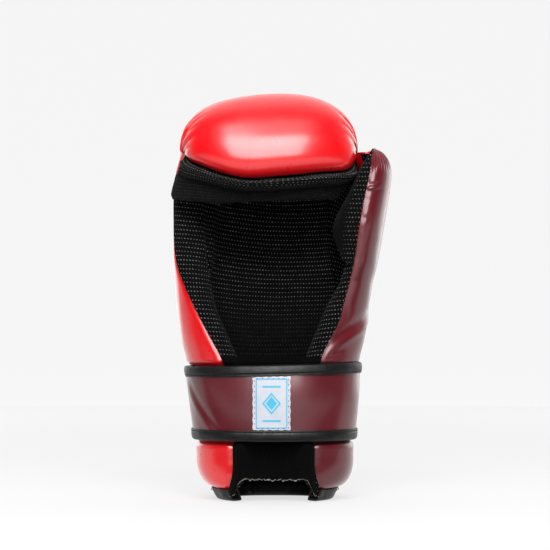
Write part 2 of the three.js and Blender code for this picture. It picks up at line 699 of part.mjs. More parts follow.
function makeWristElastic() {
  const standOff = EDGE_BULGE + LINING_GAP + LINING + ELASTIC_CLEARANCE;
  const rings = rowsBetween(ELASTIC_BOTTOM, ELASTIC_TOP).map((height) => {
    const section = handSection(height);
    const angles = shellAngles(section);
    const leftEdge = midpoint(sectionPoint(section, angles[0]), sectionPoint(section, angles[0], 1));
    const rightEdge = midpoint(padPoint(height, 1), padPoint(height, 1, 1));
    const start = moved(leftEdge, sectionDirection(section, angles[0], -1), standOff);
    const end = moved(rightEdge, padEdgeDirection(height, 1, 1), standOff);
    const front = ELASTIC_SHARES.map((share) => {
      const point = mixPoints(start, end, share);
      return moved(point, [0, 1, 0], ELASTIC_BOW * 4 * share * (1 - share) - ELASTIC / 2);
    });
    return sheetRing(front, front.map((point) => moved(point, [0, 1, 0], ELASTIC)));
  });
  return loftRings(rings);
}

// Distance of the strap's inner face from the padding, with the inner leg of a binding between them.
const STRAP_CLEARANCE = BINDING + 3 * GAP;

function strapTopAt(x) {
  return STRAP_TOP + STRAP_RISE * x / HAND_HALF_WIDTH;
}

// Lofts a ring of distances outwards and heights along the strap's run round the cuff. The free end rises
// onto the start of the strap.
function loftAlongStrap(profileAt) {
  const lift = STRAP + 2 * STRAP_CLEARANCE;
  const middle = handSection((STRAP_BOTTOM + STRAP_TOP) / 2);
  const rings = sharesOf(STRAP_STEPS).map((share) => {
    const degrees = (360 + STRAP_OVERLAP) * share;
    const angle = degToRad(STRAP_START - degrees);
    const raised = lift * smoothstep(degrees, 360 - STRAP_RAMP, 360 - STRAP_RAMP_END);
    return profileAt(sectionPoint(middle, angle)[0]).map(([distance, height]) => {
      const section = handSection(clamp(height, STRAP_BOTTOM, STRAP_TOP));
      const [x, y] = sectionPoint(section, angle, 0, -STRAP_CLEARANCE - raised - distance);
      return [x, y, height];
    });
  });
  return loftRings(rings);
}

function makeWristStrap() {
  const low = STRAP_BOTTOM + BINDING + GAP;
  return loftAlongStrap((x) => {
    const high = strapTopAt(x) - BINDING - GAP;
    return [[0, low], [0, high], [STRAP, high], [STRAP, low]];
  });
}

// Channel round one edge of the strap, from its inner leg over the edge to its outer leg.
function makeStrapBinding(edgeAt, sign) {
  return loftAlongStrap((x) => {
    const edge = edgeAt(x);
    const foot = edge - sign * STRAP_BINDING_HEIGHT;
    const crown = edge - sign * BINDING;
    const shoulder = edge - sign * BINDING * BINDING_SHOULDER;
    const inner = -GAP - BINDING;
    const outer = STRAP + GAP + BINDING;
    return [
      [inner, foot],
      [inner, shoulder],
      [STRAP / 2, edge],
      [outer, shoulder],
      [outer, foot],
      [STRAP + GAP, foot],
      [STRAP + GAP, crown],
      [STRAP / 2, crown],
      [-GAP, crown],
      [-GAP, foot],
    ];
  });
}

function makeLabel() {
  const low = STRAP_BOTTOM + STRAP_BINDING_HEIGHT + LABEL_MARGIN;
  const standOff = STRAP_CLEARANCE + STRAP + GAP;
  const rings = sharesOf(LABEL_COLUMNS).map((share) => {
    const x = LABEL_SHIFT + LABEL_WIDTH * (share - 0.5);
    const high = strapTopAt(x) - STRAP_BINDING_HEIGHT - LABEL_MARGIN;
    const onStrap = (height, distance) => {
      const section = handSection(height);
      const across = Math.abs(x - section.middle) / (section.halfWidth + standOff);
      const reach = (section.front + standOff) * (1 - across ** SQUARENESS) ** (1 / SQUARENESS);
      return [x, SIDE_LINE - reach - distance, height];
    };
    return [onStrap(low, 0), onStrap(high, 0), onStrap(high, LABEL), onStrap(low, LABEL)];
  });
  return loftRings(rings);
}

// Channel under the cuff's bottom edge, from its left front corner round the back to its right front corner.
function makeCuffBinding() {
  const section = handSection(RIM_TOP);
  const outer = GAP + BINDING;
  const inner = RIM_WALL + LINING_GAP + LINING + GAP;
  const rings = sharesOf(CUFF_STEPS).map((share) => {
    const angle = lerp(-section.wrap, section.thumb, share);
    const base = sectionPoint(section, angle);
    const further = sectionPoint(section, angle, 0, 1);
    const inward = unit(difference(further, base));
    const at = (distance, height) => [base[0] + inward[0] * distance, base[1] + inward[1] * distance, height];
    return [
      at(-outer, 0),
      at(-outer, CUFF_BINDING_HEIGHT),
      at(-GAP, CUFF_BINDING_HEIGHT),
      at(-GAP, BINDING),
      at(inner, BINDING),
      at(inner, CUFF_BINDING_HEIGHT),
      at(inner + BINDING, CUFF_BINDING_HEIGHT),
      at(inner + BINDING, 0),
    ];
  });
  return loftRings(rings);
}

// Materials

function finish(color, roughness) {
  return new THREE.MeshStandardMaterial({ color, roughness, metalness: 0 });
}

const redLeather = finish(0xe0101c, 0.4);
const maroonLeather = finish(0x6a1a28, 0.42);
const blackMesh = finish(0x161616, 0.9);
const blackElastic = finish(0x1a1a1a, 0.85);
const blackBinding = finish(0x222424, 0.5);
const labelCloth = finish(0xe2e4ee, 0.8);

function piece(name, geometry, material) {
  const mesh = new THREE.Mesh(geometry, material);
  mesh.name = name;
  return mesh;
}

const glove = new THREE.Group();
glove.add(
  piece('hand_shell', makeHandShell(), redLeather),
  piece('thumb_pad', makeThumbPad(), maroonLeather),
  piece('thumb_web', makeThumbWeb(), redLeather),
  piece('hand_lining', makeHandLining(), blackMesh),
  piece('thumb_lining', makeThumbLining(), blackMesh),
  piece('finger_band', makeFingerBand(), blackMesh),
  piece('thumb_sleeve', makeThumbSleeve(), blackMesh),
  piece('wrist_elastic', makeWristElastic(), blackElastic),
  piece('wrist_strap', makeWristStrap(), maroonLeather),
  piece('strap_binding_top', makeStrapBinding(strapTopAt, 1), blackBinding),
  piece('strap_binding_bottom', makeStrapBinding(() => STRAP_BOTTOM, -1), blackBinding),
  piece('label', makeLabel(), labelCloth),
  piece('cuff_binding', makeCuffBinding(), blackBinding),
);

// The origin is under the middle of the glove, on the surface that it stands on.
const bounds = new THREE.Box3().setFromObject(glove);
const centre = bounds.getCenter(new THREE.Vector3());
glove.position.set(-centre.x, -centre.y, -bounds.min.z);

export default glove;
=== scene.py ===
"""Looks of a padded point fighting glove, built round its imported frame.

Lengths are millimetres and angles degrees until a mesh is made, in the frame where the hand part's middle
line is x = 0. A grid is an array of points by row and column.
"""

import math
from types import SimpleNamespace

import bmesh
import bpy
import numpy as np
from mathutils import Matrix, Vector


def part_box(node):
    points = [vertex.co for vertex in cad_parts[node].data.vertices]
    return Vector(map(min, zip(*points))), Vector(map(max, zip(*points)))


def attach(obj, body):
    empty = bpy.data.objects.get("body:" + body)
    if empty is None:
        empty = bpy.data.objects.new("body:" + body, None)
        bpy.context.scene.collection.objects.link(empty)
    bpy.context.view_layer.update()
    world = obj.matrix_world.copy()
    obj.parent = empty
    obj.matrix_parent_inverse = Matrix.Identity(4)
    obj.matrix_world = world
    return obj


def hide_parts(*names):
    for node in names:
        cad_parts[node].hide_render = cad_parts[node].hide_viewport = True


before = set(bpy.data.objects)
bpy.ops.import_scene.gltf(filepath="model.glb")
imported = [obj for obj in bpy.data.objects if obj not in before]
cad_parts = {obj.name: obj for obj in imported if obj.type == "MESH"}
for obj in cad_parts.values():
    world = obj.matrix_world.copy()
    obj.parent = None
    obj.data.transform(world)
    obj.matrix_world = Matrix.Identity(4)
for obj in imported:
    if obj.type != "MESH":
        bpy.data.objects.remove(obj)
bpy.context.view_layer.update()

MM = 0.001

# Hand part
CORNER_HEIGHT = 234.0  # floor to the two corners where the hood's seam starts
HAND_HALF_WIDTH = 68.0
BACK_REACH = 48.0
FRONT_REACH = 40.0
SIDE_LINE = 2.0  # place of the widest line along Y
SQUARENESS = 2.3  # exponent of the rounded sections, 2 is an ellipse

# Padding and cloth
SIDE_PAD = 15.0
BACK_PAD = 25.0
THUMB_PAD = 12.0
RIM_WALL = 4.0
LINING = 2.0
WEB = 2.5
SLEEVE = 2.0
ELASTIC = 2.0
STRAP = 3.0
BINDING = 1.4
LABEL = 0.8
GAP = 0.35
SEAM_GAP = 0.5
LINING_GAP = 0.6
EDGE_BULGE = 3.0

# Cuff
CUFF_BINDING_HEIGHT = 8.0
CUFF_CORNER = 2.6  # height of the rounding at its foot
RIM_SIDE_INSET = 12.0
RIM_BACK_INSET = 6.0
RIM_FRONT_INSET = 2.0
RIM_TURN = 17.0
CUFF_LEAN = 4.0  # how far the cuff's foot lies inwards of its binding's top
PUFF_HEIGHT = 18.0
RIM_BOTTOM = BINDING + GAP
RIM_TOP = CUFF_BINDING_HEIGHT + GAP

# Wrist strap
STRAP_BOTTOM = 40.5
STRAP_TOP = 92.0
STRAP_RISE = 1.7
STRAP_PRESS = 3.0
PRESS_EDGE = 3.5
STRAP_START = 112.0
STRAP_OVERLAP = 62.0
STRAP_RAMP = 30.0
STRAP_RAMP_END = 4.0
STRAP_BINDING_HEIGHT = 7.5
STRAP_CLEARANCE = BINDING + 3 * GAP
STRAP_SINK = 1.2  # how much closer than that the soft strap lies
STRAP_LIFT = 5.6  # how far its end is raised over its beginning
EDGING_WALL = 0.9
EDGING_GAP = 0.1
EDGING_PUFF = 0.4
STITCH_INSET = 1.3  # from the binding's foot to its stitches
STITCH_DENT = 0.3
STITCH_PITCH = 3.7
STITCH_SIZE = (0.55, 0.5)  # width and height

# Hood
HOOD_BACK = 61.0
HOOD_FOLD = 211.0
HOOD_LEFT_PINCH = 0.935
HOOD_LEFT_LEAN = 0.967
HOOD_RIGHT_PINCH = 0.98
HOOD_SIDE_RISE = 0.08
HOOD_LEFT_SLUMP = 0.065  # share by which the hood's left shoulder is lower than the right one
HOOD_SMILE = ((0.33, 0.2, -3.2), (0.8, 0.15, 1.6))  # place along the seam, width and rise of its two swings
POCKET_BACK = 31.0
PINCH_ONSET = 0.045  # share of a hood row over which the pinch sets in

# Finger band
BAND = 3.0
BAND_CLEARANCE = 0.8
BAND_TOP_GAP = 0.4
BAND_RIM = 3.8
BAND_CREASE = 1.3
BAND_LEFT_DROP = 28.0
BAND_FRONT_DROP = 34.0
BAND_RIGHT_DROP = 31.0
BAND_RIM_SHARE = 0.45
BAND_SEAM_SHARE = 0.93
BAND_TOP_ANGLES = (-27.0, -166.0)
BAND_BOTTOM_ANGLES = (6.0, -136.0)
BAND_TUCK = 1.6  # how far the band's top edge is tucked under the hood
BAND_FRAY = 0.5
BAND_SECOND_LAYER = 1.6  # thickness below the rolled rim
BAND_LENGTH = 158.0

# Thumb
THUMB_TIP = 239.0
THUMB_HALF_WIDTH = 80.0
THUMB_FOOT = 105.0
THUMB_SPLIT = 118.0
THUMB_FREE = 160.0
THUMB_BACK_TURN = 55.0
THUMB_FRONT_TURN = 95.0
THUMB_CORE_DROP = 18.0
THUMB_ROUNDING = 30.0  # length of the tip, where the rows lie closer
PAD_BACK = np.zeros(1)  # share round the pad of its back edge
PAD_FRONT = np.ones(1)  # and of its front seam
WEB_FOOT = 142.0
WEB_EDGE = (236.0, 238.0)  # heights of its top border at the hood and at the thumb
WEB_BOW = 2.0
WEB_GAP = 0.9
WEB_CREASE = 0.35
SLEEVE_MOUTH_FRONT = 157.0
SLEEVE_MOUTH_BACK = 186.0
SLEEVE_BACK_DEPTH = 0.9
SLEEVE_SWELL = 0.75

# Lining and elastic
LINING_TOP = CORNER_HEIGHT - 2.0
THUMB_LINING_TOP = 172.0
ELASTIC_BOTTOM = 12.0
ELASTIC_TOP = 97.0
ELASTIC_BOW = 3.0
ELASTIC_CLEARANCE = 0.9
ELASTIC_LEGS = 9.0  # how far the elastic's two sewn edges run down
ELASTIC_SEAM_STEPS = ((0.0, 0.5), (3.0, 1.7), (6.5, 1.7))  # steps in from a seam, and the lift there
ELASTIC_KNOTS = ((0.14, 0.3), (0.32, 0.9), (0.5, 1.0), (0.68, 0.9), (0.86, 0.3))  # shares across and bowed
ELASTIC_SMOOTHING = 12
ELASTIC_ARCH = 3.4  # how far its lower edge rises in the middle
ELASTIC_RIPPLE = 0.45

# Label
LABEL_WIDTH = 25.0
LABEL_SHIFT = -2.3
LABEL_MARGIN = 0.6
LABEL_LOW = STRAP_BOTTOM + STRAP_BINDING_HEIGHT + LABEL_MARGIN
LABEL_STITCH_INSETS = (1.2, 1.1)  # from its sides, and from its bottom and top
LABEL_STITCH_PITCH = 3.55

# Sections of the hand part. Shares of the way up, of the half width, of the reaches and of the paddings.
HAND_COLUMNS = ("height", "left", "right", "back", "front", "side", "spine")
HAND_SECTIONS = (
    (0.0, 0.79, 0.79, 0.75, 0.96, 0.85, 0.52),
    (0.14, 0.8, 0.79, 0.79, 0.99, 0.9, 0.56),
    (0.26, 0.84, 0.82, 0.86, 1.02, 0.93, 0.62),
    (0.38, 0.893, 0.85, 0.92, 1.01, 0.95, 0.74),
    (0.44, 0.943, 0.9, 0.95, 0.98, 0.97, 0.82),
    (0.5, 0.975, 0.93, 0.97, 0.94, 1.0, 0.88),
    (0.575, 1.005, 0.93, 0.99, 0.88, 1.0, 0.94),
    (0.637, 1.018, 0.9, 1.0, 0.83, 1.03, 0.98),
    (0.7, 1.024, 0.87, 1.01, 0.78, 1.05, 1.0),
    (0.783, 1.024, 0.85, 1.01, 0.76, 1.05, 1.0),
    (0.87, 1.024, 0.84, 1.0, 0.8, 1.05, 1.0),
    (0.938, 1.01, 0.835, 0.98, 0.9, 1.0, 0.97),
    (1.0, 0.978, 0.83, 0.958, 1.0, 0.95, 0.93),
)

# Where the pieces end along the same sections, in degrees past the left side or past the right side.
EDGE_COLUMNS = ("height", "wrap", "seam", "thumb")
HAND_EDGES = (
    (0.0, 62, -25, 63.5),
    (0.14, 62, -25, 63.5),
    (0.26, 61, -25, 62),
    (0.38, 58.5, -25, 60.5),
    (0.44, 52.5, -25, 56),
    (0.5, 45, -25, 49),
    (0.575, 34.5, -25, 42),
    (0.637, 24, -25, 34),
    (0.7, 13, -25, 30),
    (0.783, 3, -25, 30),
    (0.87, 3, -22, 30),
    (0.938, 12, -6, 30),
    (1.0, 27, 12, 30),
)

# Turns of the hood. Share of HOOD_FOLD, shares of the two radii, and the outline's exponents.
HOOD_COLUMNS = ("turn", "outer", "pocket", "left", "right")
HOOD_TURNS = (
    (0.0, 1.0, 1.0, 2.3, 2.3),
    (0.11, 0.985, 0.99, 2.3, 2.3),
    (0.21, 0.905, 0.92, 2.3, 2.3),
    (0.31, 0.795, 0.82, 2.3, 2.4),
    (0.43, 0.7, 0.74, 2.3, 2.5),
    (0.57, 0.63, 0.7, 2.3, 2.6),
    (0.71, 0.56, 0.68, 2.2, 2.8),
    (0.85, 0.574, 0.66, 2.1, 3.0),
    (0.925, 0.572, 0.64, 2.05, 3.15),
    (1.0, 0.538, 0.61, 2.0, 3.3),
)

# Sections of the thumb. Shares of the way up, of the half width and of the reaches.
THUMB_COLUMNS = ("height", "outer", "seam", "front", "back", "bulge")
THUMB_SECTIONS = (
    (0.0, 0.77, 0.43, 0.8, 0.44, 0.0),
    (0.13, 0.81, 0.52, 0.77, 0.44, 0.02),
    (0.235, 0.84, 0.59, 0.75, 0.42, 0.03),
    (0.34, 0.857, 0.635, 0.73, 0.4, 0.05),
    (0.455, 0.893, 0.67, 0.77, 0.37, 0.11),
    (0.6, 0.932, 0.706, 0.82, 0.33, 0.19),
    (0.76, 0.978, 0.757, 0.82, 0.28, 0.13),
    (0.865, 0.994, 0.795, 0.77, 0.2, 0.09),
    (0.925, 0.974, 0.812, 0.67, 0.1, 0.055),
    (0.972, 0.92, 0.828, 0.5, -0.04, 0.025),
    (1.0, 0.844, 0.844, 0.3, -0.25, 0.0),
)

# Relief
# Pleats that fan out from the hood's corners: turn share, width in turn share, depth, length from the corner.
LEFT_PLEATS = (
    (0.26, 0.012, 0.7, 34), (0.31, 0.014, 1.0, 40), (0.355, 0.012, 1.1, 36), (0.395, 0.011, 1.3, 44),
    (0.435, 0.011, 1.4, 40), (0.475, 0.012, 1.3, 46), (0.515, 0.012, 1.1, 34), (0.56, 0.014, 1.0, 42),
    (0.615, 0.018, 0.8, 34), (0.69, 0.026, 0.8, 30), (0.8, 0.04, 0.6, 24),
)
RIGHT_PLEATS = (
    (0.24, 0.012, 0.7, 30), (0.29, 0.014, 0.9, 36), (0.335, 0.012, 1.0, 38), (0.375, 0.012, 1.2, 42),
    (0.42, 0.012, 1.3, 44), (0.465, 0.013, 1.3, 40), (0.51, 0.013, 1.1, 46), (0.56, 0.016, 1.2, 40),
    (0.63, 0.02, 1.0, 38), (0.71, 0.028, 0.8, 30), (0.82, 0.04, 0.5, 22),
)
PLEAT_DEPTH = 2.2
PLEAT_SWAY = 0.012
SEAM_PULL = 1.3  # depth of the groove along a seam
SEAM_GROOVE = 2.6  # width of that groove
HOOD_SEAM_PULL = SEAM_PULL * 1.3
HOOD_EDGE_BULGE = 2.5
PUCKER = 0.3
PUCKER_PITCH = 6.5
FINE_PUCKER_PITCH = 3.7
PUCKER_PATCH = 11.0  # length over which the puckers come and go
PUCKER_REACH = 4.0
SKIN_WAVE = 0.45
WAVE_COUNT = 6  # crossing waves in one undulation

# Short wrinkles across the thumb's seam: height, width, depth, length from the seam.
THUMB_WRINKLES = (
    (212.5, 0.9, 0.6, 11.0), (207.5, 1.1, 0.7, 14.0), (202.0, 1.0, 0.3, 8.0), (190.0, 1.2, 0.2, 9.0),
    (176.0, 1.3, 0.2, 8.0), (163.0, 1.4, 0.2, 9.0), (147.0, 1.5, 0.2, 8.0),
)
# Folds that run up from low on its seam: height there, width, depth, and where along them they fade out.
THUMB_FOLDS = ((100.0, 4.5, 1.1, 26.0, 44.0), (110.0, 5.0, -0.9, 24.0, 40.0))
THUMB_FOLD_SLOPE = 0.62
PAD_PULL = 0.7
TIP_PLEATS = 15
TIP_PLEAT_DEPTH = 0.75

# Folds across the hand's lining: height at the front edge, width, depth towards the palm.
LINING_FOLDS = ((205.0, 2.2, 4.0), (210.5, 1.9, -1.6), (196.5, 4.0, 0.8))
FOLD_FALL = 9.0  # how far the folds come down towards the middle of the hand
LINING_BRIDGE = 8.0  # how far the lining cuts the hollow's left corner
LINING_BRIDGE_HEIGHTS = (122.0, 162.0)  # heights over which it sets in
LINING_BRIDGE_RUN = (29.0, 13.0)  # its middle and its width along the rows
ROW_SAG = 10.0  # how far the rows of dots hang down in the middle

# Soft folds of the strap: degrees along it, height in its middle, rise in millimetres a degree, width, depth
STRAP_FOLDS = (
    (134, 68, -0.9, 5.5, 0.7),
    (146, 63, -0.9, 5.0, -0.6),
    (88, 58, 0.9, 2.6, 0.9),
    (96, 70, 0.8, 2.4, -0.7),
    (20, 62, -0.7, 3.0, 0.6),
    (330, 60, 0.7, 3.0, 0.7),
)
STRAP_FOLD_SPREAD = 22.0

# Cloth. The lengths are millimetres.
DOT_PITCH = 2.1
DOT_ROW_PITCH = 3.05
DOT_SWAY = 1.2
KNIT_PITCHES = (0.87, 0.78)
KNIT_HOLE = (0.001, 0.001, 0.001, 1.0)
RIB_PITCHES = (1.5, 0.7)
SHADED_DOT_SHARE = 0.12  # share of a dot's brightness kept where the dots are dimmed as painted shade
LINING_DOT_SHADE = (11.0, 17.0, 124.0, 165.0)  # distances from the edge and heights between which the dots set in; further in and lower down they are dimmed, painted shade deep in the hollow
# Where the band's dots are dimmed: painted shade on its lower part, below the rolled rim
BAND_DOT_SHADE = (0.0, 0.001, -19.0, -13.0)
SLEEVE_FADING = (5.0, 12.0)

# A stitch from end to end: shares of its half length and of its thickness
STITCH_RINGS = ((-1.0, 0.0), (-0.8, 0.75), (0.0, 1.0), (0.8, 0.75), (1.0, 0.0))

# The label's face: a border line, a plain diamond and two bars, in millimetres from its middle
BORDER_SIDE = 10.1
BORDER_TOP = 16.3
BORDER_LINE = 0.3
DIAMOND_WIDTH = 6.2
DIAMOND_HEIGHT = 7.4
BAR_PLACES = (11.2, -11.6)
BAR_WIDTH = 6.0
BAR_LINE = 0.55
WEAVE_PITCH = 0.5

# Stage, in metres
FLOOR_RADIUS = 1.6
BACKDROP_RADIUS = 3.4
BACKDROP_HEIGHT = 3.2
FLOOR_GLOW = (0.68, 0.77)
GLOW_EDGES = (0.35, 1.5)  # radii between which the near glow turns into the far one
FLOOR_PAPER = 0.16
WALL_GLOW = (0.912, 0.912)
BOUNCE_SIDE = 1.3
BOUNCE_PARTS = (("front_bounce", -1.0, -0.26), ("back_bounce", -0.08, 1.4))  # names and ends along Y
BOUNCE_PAPER = 0.3
BOUNCE_DROP = -0.001
BOUNCE_GLOW = (0.65, 0.65)
WORLD_EDGES = (-0.35, 0.45)  # where the studio turns from dark to pale, along Y
WORLD_FRONT = 0.05
WORLD_BACK = 0.8
CAMERA_PLACE = np.array([0.0, -1300.0, 115.0])  # millimetres, in the glove's frame
CAMERA_SCALE = 1895.0  # pixels for a slope of 1
CAMERA_RISE = 55.0 / CAMERA_SCALE  # slope of the view upwards
PICTURE_WIDTH = 550.0  # pixels
SENSOR_WIDTH = 36.0
CAMERA_LENS = CAMERA_SCALE / PICTURE_WIDTH * SENSOR_WIDTH

# Name, place, target, width and height, power in watts, and whether it lights and whether it shines
LIGHTS = (
    ("front_softbox", (0.0, -1.4, 0.82), (0.0, 0.0, 0.2), (1.1, 1.4), 46.0, False, True),
    ("front_key", (0.0, -0.8, 0.95), (0.0, 0.0, 0.15), (0.9, 0.5), 19.0, True, False),
    ("top_softbox", (0.0, 0.1, 1.7), (0.0, 0.0, 0.1), (1.6, 1.2), 15.0, True, False),
    ("left_rim_softbox", (-1.05, 1.45, 0.4), (0.0, 0.0, 0.15), (1.2, 1.4), 7.0, False, True),
    ("right_rim_softbox", (1.2, 1.25, 0.4), (0.0, 0.0, 0.15), (1.3, 1.4), 8.0, False, True),
)

# Fineness of the meshes
ROW_STEP = 1.5
HOOD_ROWS = 96
SHELL_COLUMNS = 150
PAD_COLUMNS = 80
ARC_POINTS = 7
WEB_GRID = (66, 12)  # rows and columns
LINING_COLUMNS = 90
THUMB_LINING_COLUMNS = 44
BAND_GRID = (64, 170)
SLEEVE_GRID = (90, 60)
ELASTIC_GRID = (84, 150)
STRAP_ROWS = 46
STRAP_STEPS = 420
LABEL_GRID = (76, 50)
CUFF_STEPS = 320
WELD = 0.004  # points closer than this are one point

# A sheet's four borders, and the way off the sheet there along its two cloth lengths
SHEET_BORDERS = ((np.s_[0], (0, -1)), (np.s_[-1], (0, 1)), (np.s_[:, 0], (-1, 0)), (np.s_[:, -1], (1, 0)))


# Numbers

def lerp(first, second, share):
    return first + (second - first) * share


def smoothstep(value, low, high):
    share = np.clip((value - low) / (high - low), 0.0, 1.0)
    return share * share * (3 - 2 * share)


def bell(value, middle, width):
    return np.exp(-(((value - middle) / width) ** 2))


def signed_power(value, power):
    return np.sign(value) * np.abs(value) ** power


def unit(vectors):
    length = np.linalg.norm(vectors, axis=-1, keepdims=True)
    return vectors / np.maximum(length, 1e-9)


def stack(x, y, z):
    return np.stack(np.broadcast_arrays(x, y, z), axis=-1).astype(float)


def column_of(values):
    return np.asarray(values, float).reshape(-1, 1)


def sample_table(table, names, key, column, at):
    """Smooth curve through one column of a table, as a cubic between each two rows."""
    data = np.array(table, float)
    places = data[:, names.index(key)]
    values = data[:, names.index(column)]
    last = len(places) - 1
    before = np.maximum(np.arange(last + 1) - 1, 0)
    after = np.minimum(np.arange(last + 1) + 1, last)
    slopes = (values[after] - values[before]) / (places[after] - places[before])
    inside = np.clip(at, places[0], places[-1])
    row = np.clip(np.searchsorted(places, inside, side="right") - 1, 0, last - 1)
    span = places[row + 1] - places[row]
    t = (inside - places[row]) / span
    rise = (2 * t**3 - 3 * t**2 + 1) * values[row] + (3 * t**2 - 2 * t**3) * values[row + 1]
    return rise + span * ((t**3 - 2 * t**2 + t) * slopes[row] + (t**3 - t**2) * slopes[row + 1])


def waves(points, size, seed):
    """Soft undulation from -1 to 1, the same on every run, with hills about as wide as size."""
    chance = np.random.default_rng(seed)
    total = np.zeros(points.shape[:-1])
    for _ in range(WAVE_COUNT):
        direction = unit(chance.normal(size=3))
        length = size * chance.uniform(0.7, 1.5) * 2
        total += np.sin(points @ direction * (2 * math.pi / length) + chance.uniform(0, 2 * math.pi))
    return total / WAVE_COUNT * 1.6


def grid_shares(rows, columns):
    """Even shares across a grid and down it."""
    return np.linspace(0, 1, columns), column_of(np.linspace(0, 1, rows))


# Sections of the hand part

def puff(height):
    share = np.clip((height - RIM_TOP) / PUFF_HEIGHT, 0.0, 1.0)
    return np.sqrt(1 - (1 - share) ** 2)


def strap_press(height):
    rising = smoothstep(height, STRAP_BOTTOM - PRESS_EDGE, STRAP_BOTTOM)
    top = STRAP_TOP - STRAP_RISE
    return STRAP_PRESS * rising * (1 - smoothstep(height, top, top + PRESS_EDGE))


def hand_section(height):
    height = np.asarray(height, float)
    share = (height - RIM_TOP) / (CORNER_HEIGHT - RIM_TOP)

    def pick(column):
        return sample_table(HAND_SECTIONS, HAND_COLUMNS, "height", column, share)

    def edge(column):
        return sample_table(HAND_EDGES, EDGE_COLUMNS, "height", column, share)

    swelling = puff(height)
    rim = 1 - swelling
    press = strap_press(height)
    lean = CUFF_LEAN * (1 - np.clip(height / CUFF_BINDING_HEIGHT, 0, 1))
    press = press + lean
    side_inset = RIM_SIDE_INSET * rim + press
    left = HAND_HALF_WIDTH * pick("left") - side_inset
    right = HAND_HALF_WIDTH * pick("right") - side_inset
    return SimpleNamespace(
        height=height,
        middle=(right - left) / 2,
        half_width=(right + left) / 2,
        back=BACK_REACH * pick("back") - RIM_BACK_INSET * rim - press,
        front=FRONT_REACH * pick("front") - RIM_FRONT_INSET * rim - press,
        side=lerp(RIM_WALL, SIDE_PAD * pick("side"), swelling) - press + lean,
        spine=lerp(RIM_WALL, BACK_PAD * pick("spine"), swelling) - press + lean,
        wrap=edge("wrap") - RIM_TURN * rim,
        seam=180 + edge("seam"),
        thumb=180 + edge("thumb") - RIM_TURN * rim,
    )


def section_point(section, angle, depth=0.0, extra=0.0):
    """A point of a section. The angle is 0 at the left side, 90 at the back and 180 at the right side."""
    turn = np.radians(angle)
    along = signed_power(np.cos(turn), 2 / SQUARENESS)
    across = signed_power(np.sin(turn), 2 / SQUARENESS)
    side_inset = section.side * depth + extra
    at_back = section.back - section.spine * depth - extra
    at_front = section.front - section.side * depth - extra
    reach = np.where(across > 0, at_back, at_front)
    x = section.middle - (section.half_width - side_inset) * along
    return stack(x, SIDE_LINE + reach * across, section.height)


def section_direction(section, angle, sign):
    return unit(section_point(section, angle + sign, 0.5) - section_point(section, angle, 0.5))


def seam_clearance(section):
    return np.degrees(SEAM_GAP / 2 / section.half_width)


def shell_angles(section, shares):
    return lerp(-section.wrap, section.seam - seam_clearance(section), shares)


# Hood

def hood_rows(base, middle, turn_share, radius_column, full_radius):
    """Turns the row at the corners' height about the line through its two end points."""

    def pick(column):
        return sample_table(HOOD_TURNS, HOOD_COLUMNS, "turn", column, turn_share)

    turn = HOOD_FOLD * turn_share
    blend = smoothstep(turn, 0, 90)
    closing = smoothstep(turn, 90, HOOD_FOLD)
    start, end = base[0], base[-1]
    x, y = base[:, 0], base[:, 1]
    offset = np.abs(x - middle)
    at_left = x < middle
    line_share = np.clip((x - start[0]) / (end[0] - start[0]), 0, 1)
    line_y = lerp(start[1], end[1], line_share)
    flat = (y - line_y) / (y.max() - lerp(start[1], end[1], 0.5))
    across = np.clip(offset / offset.max(), 0, 1)
    exponent = np.where(at_left, pick("left"), pick("right"))
    arched = (1 - across**exponent) ** (1 / exponent)
    edge_y = np.where(at_left, start[1], end[1])
    rim = np.clip((y - edge_y) / (SIDE_LINE - edge_y), 0, 1)
    domed = np.where(y < SIDE_LINE, HOOD_SIDE_RISE * rim, lerp(HOOD_SIDE_RISE, 1, arched))
    distance = full_radius * pick(radius_column) * lerp(flat, domed, blend)
    places = np.linspace(0, 1, len(base))
    onset = smoothstep(np.minimum(places, 1 - places), 0, PINCH_ONSET)
    pinch = lerp(1, np.where(at_left, HOOD_LEFT_PINCH, HOOD_RIGHT_PINCH), closing * onset)
    pinch = pinch * lerp(1, np.where(at_left, HOOD_LEFT_LEAN, 1.0), smoothstep(turn, 0, 60) * onset)
    slump = HOOD_LEFT_SLUMP * (1 - smoothstep(line_share, 0.25, 0.75)) * blend
    distance = distance * (1 - slump)
    distance[:, [0, -1]] = 0
    turned_x = middle + (x - middle) * pinch
    swing = sum(rise_by * bell(line_share, place, width) for place, width, rise_by in HOOD_SMILE)
    ends = smoothstep(np.minimum(line_share, 1 - line_share), 0, 0.12)
    return stack(
        turned_x,
        line_y + distance * np.cos(np.radians(turn)),
        CORNER_HEIGHT + distance * np.sin(np.radians(turn)) + swing * ends * closing,
    )


def grid_normals(grid, centre_x):
    """Directions off a grid's surface, turned away from the glove's middle."""
    normals = unit(np.cross(np.gradient(grid, axis=1), np.gradient(grid, axis=0)))
    out = grid - np.array([centre_x, SIDE_LINE, 0.0])
    out[..., 2] = 0
    side = np.sign(np.sum(normals * out))
    return normals * (side if side else 1.0)


def run_along(grid, axis):
    """Distance from the first row or column, measured along the grid."""
    steps = np.linalg.norm(np.diff(grid, axis=axis), axis=-1)
    pad = [(0, 0), (0, 0)]
    pad[axis] = (1, 0)
    return np.pad(np.cumsum(steps, axis=axis), pad)


# Making meshes

